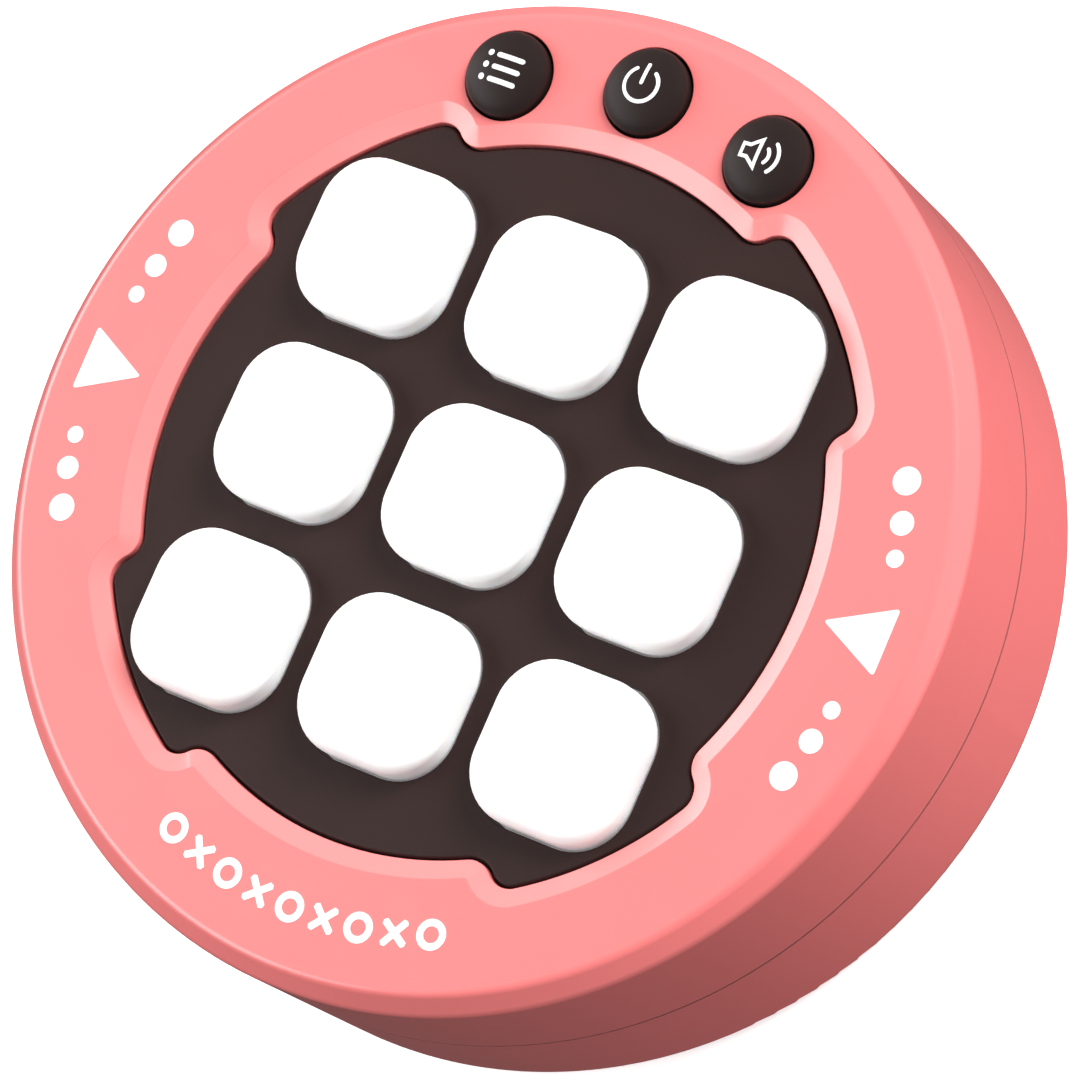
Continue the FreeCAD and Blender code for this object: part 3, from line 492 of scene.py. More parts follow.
class Finish(Graph):
    """A material whose patterns follow the piece's own coordinates."""

    def __init__(self, name):
        self.material = bpy.data.materials.new(name)
        self.material.use_nodes = True
        super().__init__(self.material.node_tree)
        self.tree.nodes.clear()
        self.spot = self.node("ShaderNodeTexCoord", out="Object")

    def axes(self):
        return self.split(self.spot)

    def grain(self, grain_size, detail=2.0, rough=0.5, stretch=(1, 1, 1)):
        """Noise from 0 to 1 whose spots are about grain_size millimetres across."""
        place = self.node("ShaderNodeMapping", {}, {0: self.spot, "Scale": stretch})
        return self.node("ShaderNodeTexNoise", {}, {
            "Vector": place, "Scale": 1 / (grain_size * MM), "Detail": detail, "Roughness": rough})

    def cells(self, size, feature="F1"):
        """Distance pattern of scattered cells about size millimetres across."""
        return self.node("ShaderNodeTexVoronoi", {"feature": feature},
                         {"Vector": self.spot, "Scale": 1 / (size * MM)})

    def tint(self, share, first, second):
        return self.node("ShaderNodeMix", {"data_type": "RGBA"}, {
            0: share, 6: first if isinstance(first, Wire) else (*first, 1.0),
            7: second if isinstance(second, Wire) else (*second, 1.0)}, out=2)

    def relief(self, height, depth, strength=1.0, over=None):
        """Bump of a depth in millimetres."""
        sockets = {"Height": height, "Distance": depth * MM, "Strength": strength}
        if over is not None:
            sockets["Normal"] = over
        return self.node("ShaderNodeBump", {}, sockets)

    def done(self, **values):
        """Ends the material in a shader; a socket's name is written with _ for its spaces."""
        shader = self.node("ShaderNodeBsdfPrincipled", {}, {
            name.replace("_", " "): (*value, 1.0) if isinstance(value, tuple) and "Color" in name else value
            for name, value in values.items()})
        self.node_to_surface(shader)
        return self.material

    def node_to_surface(self, shader):
        self.surface = shader
        self.end = self.tree.nodes.new("ShaderNodeOutputMaterial")
        self.tree.links.new(shader.socket, self.end.inputs["Surface"])

    def clear_from_behind(self):
        """Lets a view from the far side of a sheet pass through it."""
        behind = self.node("ShaderNodeNewGeometry", out="Backfacing")
        clear = self.node("ShaderNodeBsdfTransparent")
        mixed = self.node("ShaderNodeMixShader", {}, {0: behind, 1: self.surface, 2: clear})
        self.tree.links.new(mixed.socket, self.end.inputs["Surface"])


def scaled(colour, factor):
    return tuple(min(1.0, value * factor) for value in colour)


def casing_finish():
    """Coral ABS with a fine satin grain, a painted highlight that makes the bevel round the panel paler, and
    painted shade that darkens the parting line.
    """
    look = Finish("coral_casing_plastic")
    colour = tuple(bpy.context.scene.game_colours.casing)
    fine, broad, rubbed = look.grain(0.22, 3.0), look.grain(26.0, 1.0), look.grain(7.0, 3.0, 0.6)
    x, y, z = look.axes()
    size = sizes()
    beyond_rim, under_rim, under_face = 0.15, 0.02, 0.03
    soft_edge, rim_edge, seam_edge, round_edge = 0.02 * MM, 0.04 * MM, 0.01 * MM, 0.4 * MM * MM
    rim_reach = (size.open_lobe + size.rim_width + beyond_rim) * MM
    # Painted highlight: the bevel round the opening gets a paler coral, standing in for the light that it
    # catches.
    rim_highlight_mask = ((x * x + y * y).below(rim_reach * rim_reach, round_edge)
              * z.above((size.face - size.rim_depth - under_rim) * MM, soft_edge)
              * z.below((size.face - under_face) * MM, rim_edge))
    # Painted shade: from just below the parting line to the top of its groove, the casing is darkened to 0.3
    # of its colour, standing in for the shade in the groove.
    painted_seam_shade = (z.above((size.seam - size.seam_shade_reach) * MM, seam_edge)
               * z.below((size.seam + size.seam_gap) * MM, seam_edge))
    painted_bevel_highlight = (0.95, 0.275, 0.268)
    moulded = look.tint(painted_seam_shade, look.tint(broad, scaled(colour, 0.985), scaled(colour, 1.015)),
                        scaled(colour, 0.3))
    return look.done(
        Base_Color=look.tint(rim_highlight_mask, moulded, painted_bevel_highlight),
        Roughness=0.32 + 0.05 * fine + 0.05 * rubbed.above(0.6, 0.1),
        Normal=look.relief(fine, 0.003, 0.5),
        Coat_Weight=0.6, Coat_Roughness=0.16)


def grained(name, fine, broad, first, second, rough, spread, depth, strength, **constants):
    """Two colours in broad spots, with a fine grain in the sheen and in the surface."""
    look = Finish(name)
    grain = look.grain(*fine)
    spots = look.grain(*broad) if broad else grain
    return look.done(
        Base_Color=look.tint(spots, first, second), Roughness=rough + spread * grain,
        Normal=look.relief(grain, depth, strength), **constants)


def shades(colour, low, high):
    """A darker and a lighter shade of a colour, or of one of the named colours."""
    colour = tuple(getattr(bpy.context.scene.game_colours, colour)) if isinstance(colour, str) else colour
    return scaled(colour, low), scaled(colour, high)


def rubber_finish():
    """Grey silicone of the keypad, with dusty mottling."""
    look = Finish("grey_keypad_silicone")
    fine, dust = look.grain(0.2, 3.0), look.grain(4.0, 4.0, 0.65)
    return look.done(
        Base_Color=look.tint(dust.above(0.45, 0.2), (0.20, 0.205, 0.21), (0.27, 0.275, 0.28)),
        Roughness=0.55 + 0.15 * fine,
        Normal=look.relief(fine, 0.006, 0.7))


def board_finish():
    """Green solder mask over tracks, with tinned vias and bare board at its edge."""
    look = Finish("green_circuit_board")
    _, _, height = look.axes()
    tracks = look.node("ShaderNodeTexBrick", {"offset": 0.35}, {
        "Vector": look.spot, "Scale": 90.0, "Mortar Size": 0.012, "Mortar Smooth": 0.2,
        "Brick Width": 1.3, "Row Height": 0.22}, out="Fac")
    vias = look.cells(4.2).below(0.13, 0.02)
    weave = look.grain(0.35, 2.0)
    mask = look.tint(tracks, (0.012, 0.16, 0.055), (0.02, 0.25, 0.09))
    board_middle, face_start = 23.4 * MM, 0.72 * MM
    edge = abs(height - board_middle).above(face_start)
    faces = look.tint(vias, mask, (0.78, 0.76, 0.72))
    return look.done(
        Base_Color=look.tint(edge, (0.42, 0.36, 0.17), faces),
        Roughness=0.28 + 0.2 * weave,
        Metallic=vias * edge,
        Normal=look.relief(tracks * 0.7 + weave * 0.3, 0.03, 0.6))


def lamp_finish():
    """Clear epoxy of the lamps, with the lit chip's phosphor glimpsed low in the body."""
    look = Finish("clear_lamp_epoxy")
    _, _, height = look.axes()
    haze = look.grain(0.5, 2.0)
    phosphor_top, fade = 26.2 * MM, 0.6 * MM
    low = height.below(phosphor_top, fade)
    return look.done(
        Base_Color=look.tint(low, (0.80, 0.84, 0.86), (0.86, 0.74, 0.28)),
        Roughness=0.10 + 0.08 * haze,
        Normal=look.relief(haze, 0.004, 0.4),
        Transmission_Weight=0.35, IOR=1.5)


def chip_finish():
    """Black moulded package with tinned legs on its two long sides."""
    look = Finish("chip_epoxy_and_legs")
    _, across, _ = look.axes()
    fine = look.grain(0.12, 4.0, 0.6)
    chip_middle, body_half = 12.0 * MM, 3.72 * MM
    legs = abs(across - chip_middle).above(body_half)
    return look.done(
        Base_Color=look.tint(legs, look.tint(fine, (0.012, 0.012, 0.013), (0.03, 0.03, 0.032)),
                             (0.70, 0.70, 0.69)),
        Metallic=legs, Roughness=0.55 - 0.25 * legs + 0.1 * fine,
        Normal=look.relief(fine, 0.008, 0.7))


def resistor_finish():
    """Chip resistors: black glass tops between tinned ends."""
    look = Finish("chip_resistor_glass")
    _, across, _ = look.axes()
    fine = look.grain(0.1, 3.0)
    row_middle, glass_half = 2.5 * MM, 0.68 * MM
    ends = abs(across - row_middle).above(glass_half)
    return look.done(
        Base_Color=look.tint(ends, (0.015, 0.015, 0.018), (0.72, 0.72, 0.70)),
        Metallic=ends, Roughness=0.25 + 0.12 * fine,
        Normal=look.relief(fine, 0.005, 0.6))


def capacitor_finish():
    """Can capacitors: a dark shrunk sleeve that leaves the scored aluminium end bare."""
    look = Finish("capacitor_sleeve_and_can")
    _, _, height = look.axes()
    fine = look.grain(0.3, 2.0)
    sleeve_end, sleeve_edge = 16.52 * MM, 0.05 * MM
    bare = height.below(sleeve_end, sleeve_edge)
    return look.done(
        Base_Color=look.tint(bare, look.tint(fine, (0.010, 0.016, 0.045), (0.016, 0.024, 0.06)),
                             (0.74, 0.75, 0.76)),
        Metallic=bare, Roughness=0.3 + 0.1 * fine,
        Normal=look.relief(fine, 0.006, 0.5))


def metal_finish(name, colour, roughness, stretch):
    """Bare metal with drawn or brushed streaks."""
    return grained(name, (0.3, 4.0, 0.6, stretch), (3.0, 3.0), *shades(colour, 0.9, 1.05),
                   roughness, 0.14, 0.004, 0.6, Metallic=1.0)


def paper_finish():
    """Pressed black paper of the speaker's cone."""
    look = Finish("pressed_speaker_paper")
    fibre, clump = look.grain(0.5, 5.0, 0.7, (1, 0.25, 1)), look.grain(1.4, 3.0)
    return look.done(
        Base_Color=look.tint(fibre, (0.012, 0.011, 0.010), (0.055, 0.050, 0.046)),
        Roughness=0.75 + 0.15 * clump,
        Normal=look.relief(fibre * 0.6 + clump * 0.4, 0.03, 0.9))


def cell_finish(name, facing):
    """Printed sleeve of a cell, with a bright band at its capped end and bare metal at both ends."""
    look = Finish(name)
    along, _, _ = look.axes()
    run = along * facing
    fine = look.grain(0.4, 2.0)
    band_start, cap_start, flat_end = 14.8 * MM, 23.65 * MM, -19.1 * MM
    band = run.above(band_start)
    ends = run.above(cap_start) + run.below(flat_end)
    sleeve = look.tint(band, look.tint(fine, (0.010, 0.011, 0.013), (0.016, 0.017, 0.020)),
                       (0.50, 0.33, 0.13))
    return look.done(
        Base_Color=look.tint(ends, sleeve, (0.80, 0.80, 0.78)),
        Metallic=(band * 0.8 + ends).above(0.5, 0.4), Roughness=0.24 + 0.1 * fine,
        Normal=look.relief(fine, 0.003, 0.4))


def lead_finish(name, colour):
    """Soft PVC covering of a lead, slightly uneven along its length."""
    return grained(name, (0.3, 3.0), (2.5, 2.0), *shades(colour, 0.85, 1.1), 0.38, 0.12, 0.006, 0.6)


# ---- Geometry Nodes ---------------------------------------------------------------------------

class Maker(Graph):
    """A Geometry Nodes tree with named inputs, run once on an empty mesh and kept as a plain mesh."""

    def __init__(self, name, **inputs):
        super().__init__(bpy.data.node_groups.new(name, "GeometryNodeTree"))
        self.values = {}
        for label, (kind, value) in inputs.items():
            socket = self.tree.interface.new_socket(label.replace("_", " "), in_out="INPUT",
                                                    socket_type=kind)
            self.values[socket.identifier] = value
        self.tree.interface.new_socket("Geometry", in_out="OUTPUT", socket_type="NodeSocketGeometry")
        start = self.tree.nodes.new("NodeGroupInput")
        self.given = {label: Wire(self, start.outputs[label.replace("_", " ")]) for label in inputs}

    def finish(self, geometry, material):
        """Ends the tree: instances made real, and one material set."""
        real = self.node("GeometryNodeRealizeInstances", {}, {0: geometry})
        painted = self.node("GeometryNodeSetMaterial", {}, {0: real, "Material": material})
        end = self.tree.nodes.new("NodeGroupOutput")
        self.tree.links.new(painted.socket, end.inputs[0])

    def piece(self, name):
        """The tree's result as a plain mesh object."""
        carrier = bpy.data.objects.new(name + "_maker", bpy.data.meshes.new(name + "_maker"))
        bpy.context.scene.collection.objects.link(carrier)
        modifier = carrier.modifiers.new("Maker", "NODES")
        modifier.node_group = self.tree
        for identifier, value in self.values.items():
            modifier[identifier] = value
        bpy.context.view_layer.update()
        depsgraph = bpy.context.evaluated_depsgraph_get()
        mesh = bpy.data.meshes.new_from_object(carrier.evaluated_get(depsgraph))
        bpy.data.objects.remove(carrier)
        if not mesh.polygons:
            raise RuntimeError(f"{name} came out empty")
        mesh.name = name
        made = bpy.data.objects.new(name, mesh)
        bpy.context.scene.collection.objects.link(made)
        return made


def marks_tree(size, nought, cross, ink):
    """Row of marks on an arc, alternately the first and the second shape, each upright on its radius."""
    maker = Maker(
        "row_of_marks", Nought=("NodeSocketObject", nought), Cross=("NodeSocketObject", cross),
        Count=("NodeSocketInt", size.mark_count), Orbit=("NodeSocketFloat", size.mark_orbit * MM),
        Height=("NodeSocketFloat", size.face * MM), Step=("NodeSocketFloat", size.mark_step),
        Middle=("NodeSocketFloat", -UP), Ink=("NodeSocketMaterial", ink))
    given = maker.given
    index = maker.node("GeometryNodeInputIndex")
    angle = given["Middle"] + (index - (given["Count"] - 1) * 0.5) * given["Step"]
    place = maker.node("ShaderNodeCombineXYZ", {}, {
        0: given["Orbit"] * angle.maths("COSINE", angle), 1: given["Orbit"] * angle.maths("SINE", angle),
        2: given["Height"]})
    points = maker.node("GeometryNodePoints", {}, {"Count": given["Count"], "Position": place})
    shapes = [maker.node("GeometryNodeObjectInfo", {"transform_space": "ORIGINAL"},
                         {"Object": given[name], "As Instance": True}, out="Geometry")
              for name in ("Cross", "Nought")]
    both = maker.tree.nodes.new("GeometryNodeJoinGeometry")
    for shape in shapes:
        maker.tree.links.new(shape.socket, both.inputs[0])
    turned = maker.node("ShaderNodeCombineXYZ", {}, {2: angle + UP})
    placed = maker.node("GeometryNodeInstanceOnPoints", {}, {
        "Points": points, "Instance": Wire(maker, both.outputs[0]), "Pick Instance": True,
        "Instance Index": index % 2.0, "Rotation": turned})
    maker.finish(placed, given["Ink"])
    return maker


def spring_tree(places, size, metal):
    """Coil springs along X, one at each place, narrowing towards the cell."""
    maker = Maker(
        "battery_springs", Turns=("NodeSocketFloat", size["turns"]), Foot=("NodeSocketFloat", size["foot"]),
        Tip=("NodeSocketFloat", size["tip"]), Length=("NodeSocketFloat", size["length"]),
        Wire_Radius=("NodeSocketFloat", size["wire"]), Metal=("NodeSocketMaterial", metal))
    given = maker.given
    coil = maker.node("GeometryNodeCurveSpiral", {}, {
        "Resolution": 40, "Rotations": given["Turns"], "Start Radius": given["Foot"],
        "End Radius": given["Tip"], "Height": given["Length"]})
    section = maker.node("GeometryNodeCurvePrimitiveCircle", {}, {
        "Resolution": 12, "Radius": given["Wire_Radius"]})
    wire = maker.node("GeometryNodeCurveToMesh", {}, {
        "Curve": coil, "Profile Curve": section, "Fill Caps": True})
    both = maker.tree.nodes.new("GeometryNodeJoinGeometry")
    for (x, y, z), facing in places:
        laid = maker.node("GeometryNodeTransform", {}, {
            "Geometry": wire, "Translation": (x, y, z), "Rotation": (0.0, UP * facing, 0.0)})
        maker.tree.links.new(laid.socket, both.inputs[0])
    smooth = maker.node("GeometryNodeSetShadeSmooth", {}, {0: Wire(maker, both.outputs[0])})
    maker.finish(smooth, given["Metal"])
    return maker


# ---- Places that come from the frame ----------------------------------------------------------

def middle_of(node):
    low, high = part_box(node)
    return (low + high) / 2


def centre_on_face(node):
    """Middle of a node in the plane of the face, in millimetres."""
    middle = middle_of(node)
    return middle.x / MM, middle.y / MM


def coat(node, material):
    """Gives a CAD node its finish."""
    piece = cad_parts[node]
    if not piece.data.materials:
        piece.data.materials.append(material)
    for slot in piece.material_slots:
        slot.material = material


# ---- Operators: one for each piece or group of like pieces ------------------------------------

class FrontShell(bpy.types.Operator):
    """Coral front half of the casing, with the bevelled opening, the button holes and the screw bosses"""
    bl_idname = "noughts.front_shell"
    bl_label = "Front shell"

    def execute(self, context):
        size = sizes()
        skin = Skin()
        case = round_track(size.case_radius, 192)
        under, face = size.face - size.deck, size.face
        inner, step = -size.wall, -size.lip_step
        shoulder_in = size.face_radius - size.case_radius
        ceiling, brow = skin.sweep(case, rounded([
            (inner - 0.4, under), (inner, under, 0.2), (inner, size.lip_top, 0.05),
            (step, size.lip_top, 0.05), (step, size.seam, 0.05), (-size.seam_depth, size.seam, 0.04),
            (-size.seam_depth, size.seam + size.seam_gap, 0.04), (0, size.seam + size.seam_gap, 0.06),
            (0, size.shoulder, 1.5),
            (shoulder_in, face, 1.3), (shoulder_in - 0.8, face)], 6))
        rim_top, rim_foot = skin.sweep(lobed_track(size), rounded([
            (size.rim_width + 0.07, face), (size.rim_width, face, 0.28),
            (0, face - size.rim_depth, 0.18), (0, under, 0.06), (0.3, under)], 5))
        tops, feet = [rim_top], [rim_foot]
        for name in BUTTONS:
            hole = round_track(size.button_hole, 56, centre_on_face(f"{name}_button"))
            top, foot = skin.sweep(hole, rounded([
                (0.14, face), (0, face, 0.12), (0, under, 0.06), (0.2, under)]))
            tops.append(top)
            feet.append(foot)
        skin.fill(brow, tops)
        bosses = [(size.case_boss_orbit, angle, size.case_boss, size.case_boss_end)
                  for angle in (45, 135, 225, 315)]
        bosses += [(size.board_boss_orbit, angle, size.board_boss, size.board_boss_end)
                   for angle in (0, 180, 248, 292)]
        for orbit, angle, radius, end in bosses:
            centre = heading(math.radians(angle)) * orbit
            bore = size.boss_bore - radius
            top, foot = skin.sweep(round_track(radius, 32, centre), rounded([
                (bore, under), (bore, end, 0.1), (0, end, 0.15), (0, under, 0.15), (0.3, under)]))
            skin.pole(top, under, -1)
            feet.append(foot)
        skin.fill(ceiling, feet, -1)
        shell = skin.piece("coral_front_shell", finish("casing"))
        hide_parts("front_shell")
        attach(shell, "case")
        return {"FINISHED"}


class GamePanel(bpy.types.Operator):
    """Dark notched panel with nine rounded-square holes for the keys"""
    bl_idname = "noughts.game_panel"
    bl_label = "Game panel"

    def execute(self, context):
        size = sizes()
        skin = Skin()
        under = size.face - size.deck
        foot, top = skin.sweep(lobed_track(size), rounded([
            (size.panel_flange - 0.4, size.panel_bottom), (size.panel_flange, size.panel_bottom, 0.1),
            (size.panel_flange, under, 0.1), (-size.panel_gap, under, 0.05),
            (-size.panel_gap, size.panel_top, 0.35), (-size.panel_gap - 0.5, size.panel_top)]))
        tops, feet = [], []
        for row in ROWS:
            for column in COLUMNS:
                x, y = centre_on_face(f"key_r{row}c{column}")
                hole = box_track(size.key_width + 2 * size.key_gap, size.key_corner + size.key_gap)
                hole = [(place + Vector((x, y)), out) for place, out in hole]
                above, below = skin.sweep(hole, rounded([
                    (0.4, size.panel_top), (0, size.panel_top, 0.25),
                    (0, size.panel_bottom, 0.1), (0.3, size.panel_bottom)]))
                tops.append(above)
                feet.append(below)
        skin.fill(top, tops)
        skin.fill(foot, feet, -1)
        panel = skin.piece("dark_game_panel", finish("panel"))
        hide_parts("game_panel")
        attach(panel, "case")
        return {"FINISHED"}


class Keys(bpy.types.Operator):
    """Nine white silicone keys with crowned tops, retaining flanges and lamp tubes"""
    bl_idname = "noughts.keys"
    bl_label = "Keys"

    def execute(self, context):
        size = sizes()
        square = box_track(size.key_width, size.key_corner)
        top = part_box("key_r1c1")[1].z / MM
        roof = top - size.key_skin
        for row in ROWS:
            for column in COLUMNS:
                skin = Skin()
                bore, bore_foot = skin.sweep(matched(square, size.lamp_bore), rounded([
                    (-0.3, roof), (0, roof, 0.15), (0, size.key_seat, 0.2), (0.5, size.key_seat)]))
                skin.pole(bore, roof, -1)
                _, tube_top = skin.sweep(matched(square, size.plunger), rounded([
                    (-0.3, size.key_seat), (0, size.key_seat, 0.2), (0, roof, 0.2), (0.6, roof)]), bore_foot)
                crown_start, slope = 2.6, 0.075
                corner_height = top - 0.5 * slope * (size.key_width / 2 - crown_start) - crown_start * slope
                _, crown = skin.sweep(square, rounded([
                    (-2.2, roof), (-1.6, roof, 0.2), (-1.6, size.key_seat, 0.2),
                    (size.key_flange, size.key_seat, 0.15), (size.key_flange, size.key_flange_top, 0.15),
                    (0, size.key_flange_top, 0.15), (0, corner_height, size.key_edge),
                    (-crown_start, corner_height + crown_start * slope)], 6), tube_top)
                edge = moved(square, -crown_start)
                reach = size.key_width / 2 - crown_start
                start = corner_height + crown_start * slope
                last = crown
                for share in (0.9, 0.78, 0.64, 0.48, 0.32, 0.16):
                    height = start + 0.5 * slope * reach * (1 - share ** 2)
                    ring = skin.ring(edge, 0, height, UP - slope * share, share)
                    skin.join(last, ring)
                    last = ring
                skin.pole(last, start + 0.5 * slope * reach, 1)
                name = f"key_r{row}c{column}"
                key = skin.piece(f"white_{name}", finish("key"), centre_on_face(name))
                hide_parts(name)
                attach(key, name)
        return {"FINISHED"}


def button_surface(size, top):
    """Height of a button's domed top at a place measured from its middle."""
    def height(x, y):
        share = min(1.0, math.hypot(x, y) / size.button_radius)
        return top - size.button_dome * (1 - math.sqrt(1 - share * share))
    return height


def draw_list(ink):
    for y in (1.42, 0, -1.42):
        ink.dot((-1.95, y), 0.36)
        ink.stroke(line_path((-0.85, y), (2.05, y), 8), 0.56)


def draw_power(ink):
    ink.stroke(arc_path(1.95, 90 + 37, 450 - 37, 44, (0, 0.2)), 0.42)
    ink.stroke(line_path((0, 0.35), (0, 2.5), 6), 0.42)


def draw_loudspeaker(ink):
    corners = [(-2.3, 0.68), (-1.45, 0.68), (-0.3, 1.55), (-0.3, -1.55), (-1.45, -0.68), (-2.3, -0.68)]
    path = []
    for start, end in zip(corners, corners[1:] + corners[:1]):
        path += line_path(start, end, 4)[:-1]
    ink.stroke(path, 0.4, closed=True)
    ink.stroke(arc_path(1.15, -42, 42, 10, (-0.15, 0)), 0.4)
    ink.stroke(arc_path(2.2, -46, 46, 16, (-0.15, 0)), 0.4)


class Buttons(bpy.types.Operator):
    """Three domed rubber buttons, each with its printed symbol"""
    bl_idname = "noughts.buttons"
    bl_label = "Buttons"

    def execute(self, context):
        size = sizes()
        symbols = {"mode": draw_list, "power": draw_power, "sound": draw_loudspeaker}
        for name in BUTTONS:
            node = f"{name}_button"
            centre = centre_on_face(node)
            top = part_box(node)[1].z / MM - size.ink
            skin = Skin()
            track = round_track(size.button_radius, 64)
            stem = size.button_stem - size.button_radius
            flange = size.button_flange - size.button_radius
            foot, side = skin.sweep(track, rounded([
                (stem - 0.4, size.key_seat), (stem, size.key_seat, 0.15),
                (stem, size.button_flange_low, 0.15), (flange, size.button_flange_low, 0.15),
                (flange, size.button_flange_top, 0.15), (0, size.button_flange_top, 0.15),
                (0, top - size.button_dome - 0.3)]))
            skin.pole(foot, size.key_seat, -1)
            last = side
            for step in range(13):
                angle = UP * step / 13
                tilt = math.atan2(math.sin(angle) / size.button_dome, math.cos(angle) / size.button_radius)
                height = top - size.button_dome * (1 - math.sin(angle))
                ring = skin.ring(track, 0, height, tilt, math.cos(angle))
                skin.join(last, ring)
                last = ring
            skin.pole(last, top, 1)
            button = skin.piece(f"dark_{node}", finish("button"), centre)
            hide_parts(node)
            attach(button, node)
            ink = Ink(size.ink, button_surface(size, top))
            symbols[name](ink)
            symbol = ink.piece(f"{name}_symbol", finish("ink"), centre, smooth=False)
            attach(symbol, node)
        return {"FINISHED"}


def arrow_outline(size, side):
    """Triangle with softened corners that points at the middle of the panel."""
    tip, back, half = size.arrow_tip, size.arrow_back, size.arrow_half
    corners = [Matrix.Rotation(size.print_turn, 2) @ Vector((side * reach, side * wide))
               for reach, wide in ((tip, 0), (back, -half), (back, half))]
    outline = []
    for k, corner in enumerate(corners):
        before = (corners[k - 1] - corner).normalized()
        after = (corners[(k + 1) % 3] - corner).normalized()
        for step in range(6):
            share = step / 5
            outline.append(corner + before * 0.55 * (1 - share) ** 2 + after * 0.55 * share ** 2)
    return outline


class FacePrinting(bpy.types.Operator):
    """White arrows and fading rows of dots on both sides of the panel"""
    bl_idname = "noughts.face_printing"
    bl_label = "Face printing"

    def execute(self, context):
        size = sizes()
        ink = Ink(size.ink, lambda x, y: size.face)
        for side in (1, -1):
            ink.patch(arrow_outline(size, side))
            for angle, radius in FADING_DOTS:
                for half in (1, -1):
                    place = heading(half * math.radians(angle) + side * size.print_turn) * size.dot_orbit
                    ink.dot((side * place[0], place[1]), radius)
        printing = ink.piece("face_arrows_and_dots", finish("ink"), smooth=False)
        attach(printing, "case")
        return {"FINISHED"}


class MarkRow(bpy.types.Operator):
    """Row of printed noughts and crosses round the lower edge of the face"""
    bl_idname = "noughts.mark_row"
    bl_label = "Row of noughts and crosses"

    def execute(self, context):
        size = sizes()
        half = (size.mark_size - size.mark_stroke) / 2
        nought = Ink(size.ink, lambda x, y: 0.0)
        nought.stroke(arc_path(half, 0, 352.5, 47), size.mark_stroke, closed=True)
        arm, thick = half * 0.94, size.mark_stroke / 2
        notch = thick * math.sqrt(2)
        end = thick / math.sqrt(2)
        cross = Ink(size.ink, lambda x, y: 0.0)
        quarter = [(notch, 0), (arm + end, arm - end), (arm + end / 2, arm + end / 2),
                   (arm - end, arm + end)]
        outline = []
        for k in range(4):
            along, across = heading(k * UP), heading(k * UP + UP)
            outline += [along * x + across * y for x, y in quarter]
        cross.patch(outline)
        shapes = [nought.piece("nought_shape", finish("ink"), smooth=False),
                  cross.piece("cross_shape", finish("ink"), smooth=False)]
        row = marks_tree(size, *shapes, finish("ink")).piece("row_of_noughts_and_crosses")
        for shape in shapes:
            bpy.data.objects.remove(shape)
        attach(row, "case")
        return {"FINISHED"}


class BatterySprings(bpy.types.Operator):
    """Three coil springs that press the cells' flat ends"""
    bl_idname = "noughts.battery_springs"
    bl_label = "Battery springs"

    def execute(self, context):
        low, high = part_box("battery_springs")
        wire = 0.3 * MM
        places = []
        for number in (1, 2, 3):
            cell_low, cell_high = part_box(f"battery_cell_{number}")
            middle = (cell_low + cell_high) / 2
            facing = 1 if number != 2 else -1
            x = low.x + wire if facing == 1 else high.x - wire
            places.append(((x, middle.y, middle.z), facing))
            gap = (cell_low.x - low.x) if facing == 1 else (high.x - cell_high.x)
        springs = spring_tree(places, {"turns": 3.5, "foot": 2.6 * MM, "tip": 1.9 * MM,
                                       "length": gap - 2 * wire, "wire": wire},
                              finish("contact_metal")).piece("coiled_battery_springs")
        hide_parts("battery_springs")
        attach(springs, "case")
        return {"FINISHED"}


class RearCasing(bpy.types.Operator):
    """Finish of the rear shell, the battery door and their screws"""
    bl_idname = "noughts.rear_casing"
    bl_label = "Rear casing"

    def execute(self, context):
        for node in ("rear_shell", "battery_door"):
            coat(node, finish("casing"))
        for node in ("case_screws", "board_screws", "door_screws"):
            coat(node, finish("steel"))
        return {"FINISHED"}


class InnerParts(bpy.types.Operator):
    """Finishes of the rubber, the circuit board, the speaker, the cells and the leads"""
    bl_idname = "noughts.inner_parts"
    bl_label = "Inner parts"

    def execute(self, context):
        domes = [f"dome_r{row}c{column}" for row in ROWS for column in COLUMNS]
        domes += [f"{name}_dome" for name in BUTTONS]
        for node in [*domes, "keypad_mat"]:
            coat(node, finish("rubber_grey"))
        for slot, nodes in {
                "baffle": ("light_baffle",), "board": ("main_board",), "carbon": ("contact_pads",),
                "lamp": ("key_leds",), "chip": ("controller_chip",), "resistor": ("resistors",),
                "capacitor": ("capacitors",), "steel": ("speaker_frame",), "magnet": ("speaker_magnet",),
                "speaker_paper": ("speaker_cone",), "contact_metal": ("battery_plates",),
                "cell": ("battery_cell_1", "battery_cell_3"), "turned_cell": ("battery_cell_2",),
                "lead_red": ("battery_lead_positive", "speaker_lead_positive"),
                "lead_black": ("battery_lead_negative", "speaker_lead_negative")}.items():
            for node in nodes:
                coat(node, finish(slot))
        return {"FINISHED"}


